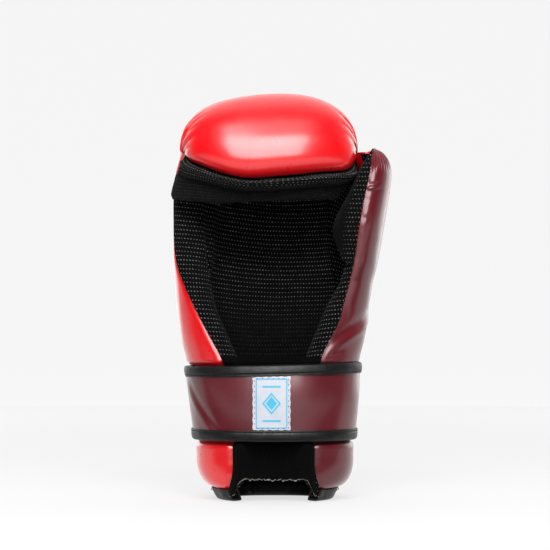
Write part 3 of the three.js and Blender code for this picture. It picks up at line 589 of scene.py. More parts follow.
class Body:
    """Grids of points that are welded into one mesh."""

    def __init__(self, name):
        self.name = name
        self.points = []
        self.faces = []
        self.uvs = []
        self.kinds = []
        self.count = 0

    def add(self, grid, uv=None, material=0):
        rows, columns = grid.shape[:2]
        index = np.arange(rows * columns).reshape(rows, columns) + self.count
        corners = [index[:-1, :-1], index[:-1, 1:], index[1:, 1:], index[1:, :-1]]
        quads = np.stack(corners, axis=-1).reshape(-1, 4)
        if uv is None:
            uv = np.stack([run_along(grid, 1), run_along(grid, 0)], axis=-1)
        flat_uv = uv.reshape(-1, 2)
        self.points.append(grid.reshape(-1, 3))
        self.faces.append(quads)
        self.uvs.append(flat_uv[quads - self.count])
        kinds = np.broadcast_to(np.asarray(material), (rows - 1, columns - 1))
        self.kinds.append(kinds.reshape(-1))
        self.count += rows * columns

    def add_sheet(self, outer, inner, uv=None, material=0, inner_material=None):
        """Two faces of a sheet with strips between their borders.

        Only the last row's strip has the outer face's material.
        """
        self.add(outer, uv, material)
        self.add(inner, uv, material if inner_material is None else inner_material)
        for cut, way in SHEET_BORDERS:
            strip = np.stack([outer[cut], inner[cut]])
            kind = material if inner_material is None or way == (0, 1) else inner_material
            strip_uv = None
            if uv is not None:
                thickness = np.linalg.norm(strip[1] - strip[0], axis=-1)[:, None]
                strip_uv = np.stack([uv[cut], uv[cut] + thickness * np.array(way)])
            self.add(strip, strip_uv, kind)

    def make(self, materials, sharp=50.0):
        points = (np.concatenate(self.points) + SHIFT) * MM
        mesh = bpy.data.meshes.new(self.name)
        mesh.from_pydata(points.tolist(), [], np.concatenate(self.faces).tolist())
        layer = mesh.uv_layers.new(name="cloth_mm")
        layer.data.foreach_set("uv", np.concatenate(self.uvs).astype(np.float32).ravel())
        mesh.polygons.foreach_set("material_index", np.concatenate(self.kinds).astype(np.int32))
        for material in materials:
            mesh.materials.append(material)
        shape = bmesh.new()
        shape.from_mesh(mesh)
        bmesh.ops.remove_doubles(shape, verts=shape.verts, dist=WELD * MM)
        bmesh.ops.dissolve_degenerate(shape, edges=shape.edges, dist=WELD * MM / 10)
        bmesh.ops.recalc_face_normals(shape, faces=shape.faces)
        shape.to_mesh(mesh)
        shape.free()
        mesh.shade_smooth()
        mesh.set_sharp_from_angle(angle=math.radians(sharp))
        piece = bpy.data.objects.new(self.name, mesh)
        bpy.context.scene.collection.objects.link(piece)
        return piece


def make_capsules(name, places, directions, normals, length, width, height, materials):
    """Many small stitches in one mesh, each a flattened bead along its direction."""
    rings = np.array(STITCH_RINGS)
    turns = np.linspace(0, 2 * math.pi, 7)
    body = Body(name)
    sideways = unit(np.cross(normals, directions))
    upwards = unit(np.cross(directions, sideways))
    lengths = np.broadcast_to(np.asarray(length, float), len(places))
    for place, ahead, side, up, size in zip(places, unit(directions), sideways, upwards, lengths):
        grid = (
            place
            + rings[:, 0, None, None] * size / 2 * ahead
            + (rings[:, 1, None] * np.cos(turns))[..., None] * width / 2 * side
            + (rings[:, 1, None] * np.sin(turns))[..., None] * height / 2 * up
        )
        body.add(grid)
    return body.make(materials, sharp=80.0)


def along_line(places, runs, line):
    """Values at places along a line, from those at its points, whose places are the runs."""
    return np.stack([np.interp(places, runs, line[:, axis]) for axis in range(3)], axis=-1)


def line_runs(line):
    return np.concatenate([[0.0], np.cumsum(np.linalg.norm(np.diff(line, axis=0), axis=1))])


def resample(line, pitch):
    """Points, directions and places at equal distances along a line of points."""
    runs = line_runs(line)
    places = np.arange(pitch / 2, runs[-1], pitch)
    ahead, behind = (along_line(places + step, runs, line) for step in (0.2, -0.2))
    return along_line(places, runs, line), unit(ahead - behind), places


# Label's place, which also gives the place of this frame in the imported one

def strap_top_at(x):
    return STRAP_TOP + STRAP_RISE * x / HAND_HALF_WIDTH


def label_point(x, height, distance):
    section = hand_section(height)
    stand_off = STRAP_CLEARANCE + STRAP + GAP
    across = np.abs(x - section.middle) / (section.half_width + stand_off)
    reach = (section.front + stand_off) * (1 - across**SQUARENESS) ** (1 / SQUARENESS)
    return stack(x, SIDE_LINE - reach - distance, height)


def label_high(x):
    return strap_top_at(x) - STRAP_BINDING_HEIGHT - LABEL_MARGIN


def find_shift():
    """Place of this frame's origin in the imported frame, from the label's box."""
    low, high = (np.array(corner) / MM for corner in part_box("label"))
    x = LABEL_SHIFT + LABEL_WIDTH * (np.linspace(0, 1, 5) - 0.5)
    fronts = [label_point(x, height, LABEL)[:, 1].min() for height in (np.full(5, LABEL_LOW), label_high(x))]
    cuff_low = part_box("cuff_binding")[0][2] / MM
    return np.array([(low[0] + high[0]) / 2 - LABEL_SHIFT, low[1] - min(fronts), cuff_low])


SHIFT = find_shift()


# Materials

def srgb(red, green, blue):
    """Linear colour of a display colour given from 0 to 255."""
    channels = np.array([red, green, blue]) / 255.0
    linear = np.where(channels <= 0.04045, channels / 12.92, ((channels + 0.055) / 1.055) ** 2.4)
    return (*linear.tolist(), 1.0)


class Graph:
    """Short calls for one material's nodes."""

    def __init__(self, name):
        self.material = bpy.data.materials.new(name)
        self.material.use_nodes = True
        self.tree = self.material.node_tree
        self.shader = next(node for node in self.tree.nodes if node.type == "BSDF_PRINCIPLED")

    def put(self, socket, value):
        if isinstance(value, bpy.types.NodeSocket):
            self.tree.links.new(value, socket)
        else:
            socket.default_value = value

    def node(self, kind, inputs=None, **settings):
        node = self.tree.nodes.new(kind)
        for name, value in settings.items():
            setattr(node, name, value)
        for name, value in (inputs or {}).items():
            self.put(node.inputs[name], value)
        return node

    def math(self, operation, *values):
        node = self.node("ShaderNodeMath", operation=operation)
        for socket, value in zip(node.inputs, values):
            self.put(socket, value)
        return node.outputs[0]

    def times(self, first, second):
        return self.math("MULTIPLY", first, second)

    def minus(self, first, second):
        return self.math("SUBTRACT", first, second)

    def length(self, first, second):
        squares = [self.times(value, value) for value in (first, second)]
        return self.math("SQRT", self.math("ADD", *squares))

    def wave(self, value, length):
        """Wave from -1 to 1 along a length of cloth."""
        return self.math("SINE", self.times(value, 2 * math.pi / length))

    def lifted(self, value):
        """A value from -1 to 1, brought to between 0 and 1."""
        return self.math("MULTIPLY_ADD", value, 0.5, 0.5)

    def mix(self, share, first, second):
        node = self.node("ShaderNodeMix", data_type="RGBA")
        self.put(node.inputs[0], share)
        self.put(node.inputs[6], first)
        self.put(node.inputs[7], second)
        return node.outputs[2]

    def step(self, value, low, high, to_low=0.0, to_high=1.0):
        """Smooth change between two values of a number."""
        node = self.node("ShaderNodeMapRange", interpolation_type="SMOOTHSTEP")
        for socket, number in zip(node.inputs, (value, low, high, to_low, to_high)):
            self.put(socket, number)
        return node.outputs[0]

    def place(self):
        return self.node("ShaderNodeTexCoord").outputs["Object"]

    def cloth(self):
        """The two lengths along the cloth, in millimetres."""
        uv = self.node("ShaderNodeUVMap", uv_map="cloth_mm").outputs[0]
        parts = self.node("ShaderNodeSeparateXYZ", {"Vector": uv})
        return parts.outputs[0], parts.outputs[1]

    def noise(self, size, detail=2.0):
        """Noise with grains of about the given size in millimetres."""
        inputs = {"Vector": self.place(), "Scale": 1 / (size * MM), "Detail": detail}
        return self.node("ShaderNodeTexNoise", inputs).outputs["Fac"]

    def cells(self, size):
        inputs = {"Vector": self.place(), "Scale": 1 / (size * MM)}
        return self.node("ShaderNodeTexVoronoi", inputs, feature="SMOOTH_F1").outputs["Distance"]

    def bump(self, *layers):
        """Bumps laid on each other, each a height from 0 to 1 and its depth in millimetres."""
        normal = None
        for height, depth in layers:
            inputs = {"Height": height, "Distance": depth * MM, "Strength": 1.0}
            if normal is not None:
                inputs["Normal"] = normal
            normal = self.node("ShaderNodeBump", inputs).outputs[0]
        self.put(self.shader.inputs["Normal"], normal)

    def set(self, **values):
        names = {
            "color": "Base Color",
            "rough": "Roughness",
            "coat": "Coat Weight",
            "coat_rough": "Coat Roughness",
            "sheen": "Sheen Weight",
            "sheen_rough": "Sheen Roughness",
            "specular": "Specular IOR Level",
        }
        for name, value in values.items():
            self.put(self.shader.inputs[names[name]], value)
        return self.material


def shade(color, factor):
    """A linear colour made lighter or darker."""
    return [channel * factor for channel in color[:3]] + [1.0]


def make_leather(name, light, dark, rough, coat):
    """Smooth coated leather cloth with a fine grain, soft stains and duller patches."""
    graph = Graph(name)
    stains = graph.step(graph.noise(34.0, 3.0), 0.3, 0.7)
    color = graph.mix(stains, light, dark)
    wear = graph.noise(9.0, 4.0)
    roughness = graph.step(wear, 0.25, 0.75, rough - 0.04, rough + 0.06)
    graph.bump((graph.cells(0.9), 0.02), (graph.noise(0.35, 2.0), 0.02), (graph.noise(7.0, 2.0), 0.1))
    return graph.set(color=color, rough=roughness, coat=coat, coat_rough=0.2, specular=0.3)


def make_mesh_cloth(name, ground, dot, dot_size, glow, fading=None, dot_shade=None):
    """Black knit with staggered light dots.

    Fading is where the dots end along their rows. The last argument gives how far from the edge, and below
    which heights, the dots are dimmed: painted shade deep in the hollow and on the band's lower part.
    """
    graph = Graph(name)
    u, v = graph.cloth()
    sway = graph.times(graph.minus(graph.noise(22.0, 1.0), 0.5), DOT_SWAY)
    v = graph.math("ADD", v, sway)
    row = graph.math("DIVIDE", v, DOT_ROW_PITCH)
    row_index = graph.math("FLOOR", row)
    stagger = graph.times(graph.math("FLOORED_MODULO", row_index, 2.0), 0.5)
    column = graph.math("ADD", graph.math("DIVIDE", u, DOT_PITCH), stagger)
    column_index = graph.math("FLOOR", column)
    across = graph.times(graph.minus(graph.math("FRACT", column), 0.5), DOT_PITCH)
    upwards = graph.times(graph.minus(graph.math("FRACT", row), 0.5), DOT_ROW_PITCH)
    distance = graph.length(across, upwards)
    mask = graph.step(distance, dot_size * 0.35, dot_size * 0.65, 1.0, 0.0)
    if fading is not None:
        mask = graph.times(mask, graph.step(u, *fading, 1.0, 0.0))
    # Painted shade: the dots are dimmed away from the edge and low down, deep in the hollow and on the band's
    # lower part
    if dot_shade is not None:
        near_edge = graph.step(u, *dot_shade[:2], 1.0, 0.0)
        high_up = graph.step(v, *dot_shade[2:], SHADED_DOT_SHARE, 1.0)
        mask = graph.times(mask, graph.math("MAXIMUM", near_edge, high_up))
    cell = graph.node("ShaderNodeCombineXYZ", {0: column_index, 1: row_index}).outputs[0]
    chance = graph.node("ShaderNodeTexWhiteNoise", {"Vector": cell}, noise_dimensions="2D").outputs["Value"]
    strength = graph.step(chance, 0.0, 1.0, 0.45 * glow, glow)
    knit = graph.lifted(graph.times(graph.wave(u, KNIT_PITCHES[0]), graph.wave(v, KNIT_PITCHES[1])))
    fuzz = graph.step(graph.noise(5.0, 3.0), 0.3, 0.8)
    worn = graph.mix(fuzz, ground, shade(ground, 1.7))
    shaded = graph.mix(graph.times(knit, 0.5), worn, KNIT_HOLE)
    color = graph.mix(graph.times(mask, strength), shaded, dot)
    graph.bump((knit, 0.16), (mask, 0.2), (graph.noise(0.5, 2.0), 0.12))
    return graph.set(color=color, rough=0.86, sheen=0.015, sheen_rough=0.5, specular=0.04)


def make_elastic_cloth(name, ground):
    """Ribbed elastic webbing."""
    graph = Graph(name)
    u, v = graph.cloth()
    ribs, wefts = (graph.lifted(graph.wave(run, pitch)) for run, pitch in zip((u, v), RIB_PITCHES))
    color = graph.mix(graph.times(ribs, graph.noise(3.0, 3.0)), ground, shade(ground, 2.1))
    graph.bump((ribs, 0.25), (wefts, 0.1), (graph.noise(0.4, 2.0), 0.1))
    return graph.set(color=color, rough=0.82, sheen=0.01, sheen_rough=0.5, specular=0.04)


def make_binding_cloth(name, light, dark):
    graph = Graph(name)
    color = graph.mix(graph.step(graph.noise(6.0, 3.0), 0.35, 0.7), dark, light)
    rough = graph.step(graph.noise(2.5, 3.0), 0.3, 0.7, 0.36, 0.5)
    graph.bump((graph.cells(0.8), 0.05), (graph.noise(3.0, 2.0), 0.16))
    return graph.set(color=color, rough=rough, specular=0.3)


def make_plain_cloth(name, light, dark, rough):
    graph = Graph(name)
    color = graph.mix(graph.noise(1.2, 3.0), light, dark)
    graph.bump((graph.noise(0.45, 2.0), 0.1))
    return graph.set(color=color, rough=rough, specular=0.3)


def make_label_cloth(name, ground, line):
    graph = Graph(name)
    u, v = graph.cloth()
    side = graph.math("ABSOLUTE", u)
    rise = graph.math("ABSOLUTE", v)
    outside = graph.math("MAXIMUM", graph.minus(side, BORDER_SIDE), graph.minus(rise, BORDER_TOP))
    border = graph.step(graph.math("ABSOLUTE", outside), BORDER_LINE, BORDER_LINE + 0.2, 1.0, 0.0)
    across = graph.math("DIVIDE", side, DIAMOND_WIDTH)
    upwards = graph.math("DIVIDE", rise, DIAMOND_HEIGHT)
    reach = graph.math("ADD", across, upwards)
    diamond = graph.step(reach, 0.98, 1.03, 1.0, 0.0)
    inner = graph.times(graph.step(reach, 0.6, 0.64, 0.0, 1.0), graph.step(reach, 0.74, 0.78, 1.0, 0.0))
    mark = graph.minus(diamond, inner)
    for place in BAR_PLACES:
        above = graph.minus(graph.math("ABSOLUTE", graph.minus(v, place)), BAR_LINE)
        off_bar = graph.math("MAXIMUM", graph.minus(side, BAR_WIDTH), above)
        mark = graph.math("MAXIMUM", mark, graph.step(off_bar, 0.0, 0.15, 1.0, 0.0))
    mark = graph.math("MAXIMUM", mark, border)
    weave = graph.lifted(graph.times(graph.wave(u, WEAVE_PITCH), graph.wave(v, WEAVE_PITCH)))
    soiled = graph.mix(graph.step(graph.noise(8.0, 3.0), 0.4, 0.9), ground, shade(ground, 0.9))
    color = graph.mix(mark, soiled, line)
    graph.bump((weave, 0.06), (mark, 0.08), (graph.noise(4.0), 0.1))
    return graph.set(color=color, rough=0.75, specular=0.3, sheen=0.1, sheen_rough=0.5)


RED = make_leather("red_leather_skin", (0.82, 0.004, 0.008, 1.0), (0.74, 0.002, 0.006, 1.0), 0.31, 1.0)
MAROON = make_leather("maroon_leather_skin", (0.125, 0.005, 0.012, 1.0), (0.1, 0.004, 0.009, 1.0), 0.34, 0.7)
KNIT = (0.002, 0.002, 0.0021, 1.0)
MESH = make_mesh_cloth("black_dotted_mesh", KNIT, (0.24, 0.245, 0.245, 1.0), 0.7, 1.0, dot_shade=LINING_DOT_SHADE)
BAND_KNIT = (0.0065, 0.0065, 0.0064, 1.0)
BAND_MESH = make_mesh_cloth("black_band_mesh", BAND_KNIT, (0.4, 0.4, 0.4, 1.0), 0.68, 1.0, dot_shade=BAND_DOT_SHADE)
SLEEVE_MESH = make_mesh_cloth("black_sleeve_mesh", KNIT, (0.24, 0.24, 0.24, 1.0), 0.72, 0.8, SLEEVE_FADING)
RIB = make_elastic_cloth("black_ribbed_elastic", (0.0012, 0.0012, 0.0012, 1.0))
EDGING = make_binding_cloth("black_edging", (0.006, 0.0065, 0.0066, 1.0), (0.003, 0.0033, 0.0034, 1.0))
THREAD = make_plain_cloth("black_thread", (0.004, 0.004, 0.004, 1.0), (0.012, 0.012, 0.012, 1.0), 0.7)
RED_THREAD = make_plain_cloth("red_thread", (0.62, 0.02, 0.03, 1.0), (0.4, 0.005, 0.01, 1.0), 0.7)
# Pale cloth for the strip under the elastic's lower edge: painted light, standing in for the lit floor seen
# through the gap there
PAINTED_GAP_LIGHT = make_plain_cloth("painted_gap_light", (0.62, 0.6, 0.52, 1.0), (0.3, 0.29, 0.25, 1.0), 0.9)
LABEL_CLOTH = make_label_cloth("white_woven_label", srgb(221, 224, 234), srgb(84, 200, 240))


def settle(piece, slot, *nodes):
    """Joins a piece to the glove's one body, and lets it stand for its CAD nodes."""
    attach(piece, "root")
    if nodes:
        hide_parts(*nodes)
    return piece


# The red padded shell

def fan_pleats(turn_share, distance, pleats):
    """Creases along rows of equal turn, which start near a corner and fade out."""
    total = np.zeros(np.broadcast(turn_share, distance).shape)
    for turn, width, depth, length in pleats:
        sway = PLEAT_SWAY * np.sin(distance / 9.0 + turn * 40)
        crease = np.exp(-np.abs((turn_share + sway - turn) / width) ** 1.5)
        fade = smoothstep(distance, 1.0, 8.0) * (1 - smoothstep(distance, length * 0.35, length))
        total -= PLEAT_DEPTH * depth * crease * fade
    return total


def seam_relief(distance, run, pull, seed, pucker=1.0):
    """Groove and small puckers beside a seam, by the distance to it and the place along it."""
    groove = -pull * np.exp(-((distance / SEAM_GROOVE) ** 2))
    turn = run * 2 * math.pi
    beat = np.sin(turn / PUCKER_PITCH + seed) + 0.6 * np.sin(turn / FINE_PUCKER_PITCH + 2 * seed)
    patches = 0.5 + 0.5 * np.sin(run / PUCKER_PATCH + seed)
    fade = np.exp(-distance / PUCKER_REACH) * smoothstep(distance, 0.2, 2.0)
    return groove + PUCKER * pucker * beat * patches * fade


def make_arc(first, second, direction, bulge):
    """Rounded padded edge between two faces, with both its ends."""
    shares = np.linspace(0, 1, ARC_POINTS).reshape(1, -1, 1)
    swell = bulge.reshape(-1, 1, 1) * np.sin(np.pi * shares) ** 0.8
    return lerp(first[:, None], second[:, None], shares) + direction[:, None] * swell


def shell_faces():
    """Outer and inner grids of the shell, from the cuff over the hood to its seam, and each row's turn."""
    count = int((CORNER_HEIGHT - RIM_BOTTOM) / ROW_STEP)
    heights = np.linspace(RIM_BOTTOM, CORNER_HEIGHT, count + 1)
    even = np.linspace(0, 1, SHELL_COLUMNS + 1)
    shares = lerp(even, (1 - np.cos(np.pi * even)) / 2, 0.5)
    section = hand_section(column_of(heights))
    angles = shell_angles(section, shares)
    turn_shares = column_of(np.linspace(0, 1, HOOD_ROWS + 1)[1:])
    corner = hand_section(CORNER_HEIGHT)
    corner_angles = shell_angles(corner, shares)
    faces = []
    for depth, column, radius in ((0.0, "outer", HOOD_BACK), (1.0, "pocket", POCKET_BACK)):
        wall = section_point(section, angles, depth)
        base = section_point(corner, corner_angles, depth)
        hood = hood_rows(base, corner.middle, turn_shares, column, radius)
        faces.append(np.concatenate([wall, hood]))
    turns = np.concatenate([np.zeros((count + 1, 1)), turn_shares])
    return heights, section, angles, faces[0], faces[1], turns


def relieve_shell(outer, turns, wall_rows):
    """Adds pleats, seam grooves, puckers and soft waves to the skin."""
    along = run_along(outer, 1)
    from_right = along[:, -1:] - along
    to_hood_seam = run_along(outer[::-1], 0)[::-1]
    rise = run_along(outer, 0)
    in_hood = turns > 0
    relief = np.where(in_hood, 0.0, seam_relief(along, rise[:, :1], SEAM_PULL, 1.0))
    relief = relief + np.where(in_hood, 0.0, seam_relief(from_right, rise[:, -1:], SEAM_PULL, 2.0))
    relief = relief + seam_relief(to_hood_seam, along, HOOD_SEAM_PULL, 3.0) * in_hood
    for distance, pleats in ((along, LEFT_PLEATS), (from_right, RIGHT_PLEATS)):
        relief = relief + fan_pleats(turns, distance, pleats) * in_hood
    relief = relief + SKIN_WAVE * waves(outer, 26.0, seed=5)
    edge = np.minimum(along, from_right)
    corner_height = np.abs(outer[..., 2] - CORNER_HEIGHT)
    near_corner = np.hypot(edge, corner_height)
    relief = relief * np.where(in_hood, smoothstep(edge, 0.0, 5.0), smoothstep(near_corner, 0.0, 6.0))
    normals = grid_normals(outer[:wall_rows], 0.0)
    hood_normals = grid_normals(outer[wall_rows - 2:], 0.0)[2:]
    return outer + relief[..., None] * np.concatenate([normals, hood_normals])


def make_hand_shell():
    heights, section, angles, outer, inner, turns = shell_faces()
    wall_rows = len(heights)
    outer = relieve_shell(outer, turns, wall_rows)
    forward = section_direction(section, angles[:, :1], -1)[:, 0]
    start_arc = make_arc(outer[:wall_rows, 0], inner[:wall_rows, 0], forward, EDGE_BULGE * puff(heights))
    onward = section_direction(section, angles[:, -1:], 1)[:, 0]
    end_arc = make_arc(outer[:wall_rows, -1], inner[:wall_rows, -1], onward, np.full(wall_rows, 0.6))
    edge_shares = np.linspace(0, 1, ARC_POINTS).reshape(-1, 1, 1)
    even = np.linspace(0, 1, len(outer[-1]))
    swell = HOOD_EDGE_BULGE * smoothstep(even * (1 - even), 0, 0.05)
    under = unit(outer[-1] - outer[-3]) * swell[:, None]
    hood_edge = lerp(outer[-1][None], inner[-1][None], edge_shares) + under * np.sin(np.pi * edge_shares)
    hood_edge[:, 0] = start_arc[-1]
    hood_edge[:, -1] = end_arc[-1]
    body = Body("hand_shell_skin")
    body.add(outer)
    for face in (inner, start_arc, end_arc, np.stack([outer[0], inner[0]]), hood_edge):
        body.add(face, material=1)
    piece = settle(body.make([RED, MESH], 60.0), "red_leather", "hand_shell")
    return outer


# Thumb

def thumb_section(height):
    height = np.asarray(height, float)
    share = (height - THUMB_FOOT) / (THUMB_TIP - THUMB_FOOT)

    def pick(column):
        return sample_table(THUMB_SECTIONS, THUMB_COLUMNS, "height", column, share)

    outer = THUMB_HALF_WIDTH * pick("outer")
    seam_x = THUMB_HALF_WIDTH * pick("seam")
    seam_y = -FRONT_REACH * pick("front")
    back_y = BACK_REACH * pick("back")
    back_turn = math.radians(THUMB_BACK_TURN)
    front_turn = math.radians(THUMB_FRONT_TURN)
    half_width = (outer - seam_x) / (1 - math.cos(front_turn))
    half_depth = (back_y - seam_y) / (math.sin(back_turn) + math.sin(front_turn))
    return SimpleNamespace(
        height=height,
        x=outer - half_width,
        y=back_y - half_depth * math.sin(back_turn),
        half_width=half_width,
        half_depth=half_depth,
        bulge=THUMB_HALF_WIDTH * pick("bulge"),
    )


def thumb_point(height, share, depth=0.0):
    section = thumb_section(height)
    turn = np.radians(lerp(THUMB_BACK_TURN, -THUMB_FRONT_TURN, share))
    skin = stack(
        section.x + section.half_width * np.cos(turn),
        section.y + section.half_depth * np.sin(turn),
        section.height + 0 * turn,
    )
    core = stack(section.x + 0 * turn, section.y, np.minimum(section.height, THUMB_TIP - THUMB_CORE_DROP))
    return skin + unit(core - skin) * THUMB_PAD * depth


def pad_point(height, share, depth=0.0):
    """A point of the thumb pad. The share runs from its back edge round the outer side to its front seam."""
    height = np.asarray(height, float)
    section = hand_section(height)
    angle = lerp(section.seam + seam_clearance(section), section.thumb, share)
    on_hand = section_point(section, angle, depth)
    free = thumb_point(height, share, depth)
    return lerp(on_hand, free, smoothstep(height, THUMB_SPLIT, THUMB_FREE)[..., None])


def pad_edge_direction(height, share, sign):
    return unit(pad_point(height, share + 0.02 * sign, 0.5) - pad_point(height, share, 0.5))


def pad_bulge(height):
    return EDGE_BULGE * puff(height) * (1 - smoothstep(height, THUMB_FREE, THUMB_TIP))


def pad_heights(top=THUMB_TIP):
    even = np.arange(RIM_BOTTOM, THUMB_TIP - THUMB_ROUNDING, ROW_STEP)
    rounding = THUMB_TIP - THUMB_ROUNDING * np.cos(np.linspace(0, np.pi / 2, 40)) ** 1.6
    heights = np.concatenate([even, rounding])
    return np.append(heights[heights < top - 0.5], top)


def relieve_pad(outer, heights, shares):
    along = run_along(outer, 1)
    from_front = along[:, -1:] - along
    rise = column_of(heights)
    relief = seam_relief(from_front, rise, PAD_PULL, 4.0, 0.25)
    relief = relief + seam_relief(along, rise, SEAM_PULL, 6.0, 0.4)
    relief = relief + SKIN_WAVE * waves(outer, 24.0, seed=8)
    for height, width, depth, length in THUMB_WRINKLES:
        slope = height + from_front * 0.12
        fade = smoothstep(from_front, 0.3, 2.0) * (1 - smoothstep(from_front, length * 0.3, length))
        relief = relief - depth * bell(rise, slope, width) * fade
        relief = relief + depth * 0.6 * bell(rise, slope + 2.2 * width, width * 1.1) * fade
    below_tip = THUMB_TIP - rise
    gather = (1 - smoothstep(below_tip, 8.0, 20.0)) * smoothstep(below_tip, 0.0, 3.0)
    relief = relief - TIP_PLEAT_DEPTH * np.abs(np.sin(shares * math.pi * TIP_PLEATS)) ** 3 * gather
    for foot, width, depth, near, far in THUMB_FOLDS:
        fold_line = foot + from_front * THUMB_FOLD_SLOPE
        fade = smoothstep(from_front, 1.0, 8.0) * (1 - smoothstep(from_front, near, far))
        relief = relief + depth * bell(rise, fold_line, width) * fade
    relief = relief * smoothstep(below_tip, 0.0, 4.0)
    return outer + relief[..., None] * grid_normals(outer, 40.0)


def make_thumb_pad():
    heights = pad_heights()
    shares = np.linspace(0, 1, PAD_COLUMNS + 1)
    rows = column_of(heights)
    outer = relieve_pad(pad_point(rows, shares), heights, shares)
    inner = pad_point(rows, shares, 1.0)
    tip = outer[-1, 0]
    outer[-1] = tip
    back = pad_edge_direction(rows, PAD_BACK, -1)[:, 0]
    start_arc = make_arc(outer[:, 0], inner[:, 0], back, np.full(len(heights), 0.5))
    ahead = pad_edge_direction(rows, PAD_FRONT, 1)[:, 0]
    end_arc = make_arc(outer[:, -1], inner[:, -1], ahead, pad_bulge(heights))
    foot, top = (np.stack([outer[row], inner[row]]) for row in (0, -1))
    body = Body("thumb_pad_skin")
    for face, kind in ((outer, 0), (inner, 1), (start_arc, 0), (end_arc, 1), (foot, 1), (top, 1)):
        body.add(face, material=kind)
    piece = settle(body.make([MAROON, MESH], 60.0), "maroon_leather", "thumb_pad")
    return outer


def make_thumb_web():
    """The web, black towards the palm. Its top border runs from the hood's corner to the thumb's tip."""
    even, rises = grid_shares(*WEB_GRID)
    shares = even.reshape(1, -1, 1)
    heights = lerp(WEB_FOOT, lerp(*WEB_EDGE, even), rises)
    section = hand_section(np.minimum(heights, CORNER_HEIGHT))
    seam = section.seam - seam_clearance(section)
    off_shell = section_direction(section, seam, 1)
    off_pad = pad_edge_direction(heights, PAD_BACK, -1)

    def face(depth):
        start = section_point(section, seam, depth / section.side) + off_shell * WEB_GAP
        start[..., 2] = heights
        end = pad_point(heights, PAD_BACK, depth / THUMB_PAD) + off_pad * SEAM_GAP
        along = unit(end - start)
        sideways = stack(-along[..., 1], along[..., 0], 0 * along[..., 0])
        sag = WEB_BOW * 4 * shares * (1 - shares)
        return lerp(start, end, shares) + sideways * sag

    outer = face(0.0)
    inside = smoothstep(even * (1 - even), 0, 0.2)
    creases = WEB_CREASE * np.sin(outer[..., 2] * 0.55 + outer[..., 0] * 0.4) * inside
    outer = outer + creases[..., None] * grid_normals(outer, 0.0)
    body = Body("thumb_web_skin")
    body.add_sheet(outer, face(WEB), None, 0, 1)
    piece = settle(body.make([RED, MESH]), "red_leather", "thumb_web")


# Linings

def lining_direction(path):
    """Level directions square to a path of points, by row and column."""
    ahead = np.gradient(path, axis=1)
    ahead[..., 2] = 0
    ahead = unit(ahead)
    return stack(-ahead[..., 1], ahead[..., 0], 0 * ahead[..., 0])


def make_lining(name, node, path, flip, relief, sag_middle):
    away = lining_direction(path) * flip
    start = smoothstep(run_along(path, 1), -1.5, 8.0)[..., None]
    near = path + away * LINING_GAP * start
    far = path + away * ((LINING_GAP + LINING) * start + relief[..., None])
    run = run_along(far, 1)
    rising_again = 0.25 * smoothstep(run, sag_middle, 2 * sag_middle)
    sag = ROW_SAG * smoothstep(run, -10.0, sag_middle) * (1 - rising_again)
    uv = np.stack([run, far[..., 2] + sag], axis=-1)
    body = Body(name)
    body.add_sheet(far, near, uv)
    return settle(body.make([MESH]), "black_mesh", node), far


def make_hand_lining():
    heights = np.linspace(RIM_BOTTOM, LINING_TOP, int(LINING_TOP / ROW_STEP))
    rows = column_of(heights)
    section = hand_section(rows)
    angles = shell_angles(section, np.linspace(0, 1, LINING_COLUMNS))
    skin = section_point(section, angles[:, :1])[:, 0]
    inner = section_point(section, angles, 1.0)
    forward = section_direction(section, angles[:, :1], -1)[:, 0]
    arc = make_arc(skin, inner[:, 0], forward, EDGE_BULGE * puff(heights))
    path = np.concatenate([arc, inner[:, 1:]], axis=1)
    run = run_along(path, 1)
    fade = smoothstep(run, 14.0, 40.0) * (1 - smoothstep(run, run[:, -1:] - 26.0, run[:, -1:] - 4.0))
    relief = 0.5 * waves(path, 20.0, seed=11)
    relief = relief * smoothstep(run, 2.0, 12.0)
    bridged = smoothstep(rows, *LINING_BRIDGE_HEIGHTS)
    relief = relief + LINING_BRIDGE * bell(run, *LINING_BRIDGE_RUN) * bridged
    fall = FOLD_FALL * smoothstep(run, 0.0, 90.0)
    for height, width, depth in LINING_FOLDS:
        relief = relief + depth * bell(rows + fall, height, width) * fade
    piece, far = make_lining("hand_lining_cloth", "hand_lining", path, -1.0, relief, 95.0)


def make_thumb_lining():
    heights = pad_heights(THUMB_LINING_TOP)
    rows = column_of(heights)
    shares = np.linspace(1, 0, THUMB_LINING_COLUMNS)
    skin = pad_point(rows, PAD_FRONT)[:, 0]
    inner = pad_point(rows, shares, 1.0)
    forward = pad_edge_direction(rows, PAD_FRONT, 1)[:, 0]
    arc = make_arc(skin, inner[:, 0], forward, pad_bulge(heights))
    path = np.concatenate([arc, inner[:, 1:]], axis=1)
    relief = 0.35 * waves(path, 16.0, seed=13) * smoothstep(run_along(path, 1), 2.0, 10.0)
    piece, far = make_lining("thumb_lining_cloth", "thumb_lining", path, 1.0, relief, 70.0)


# Finger band

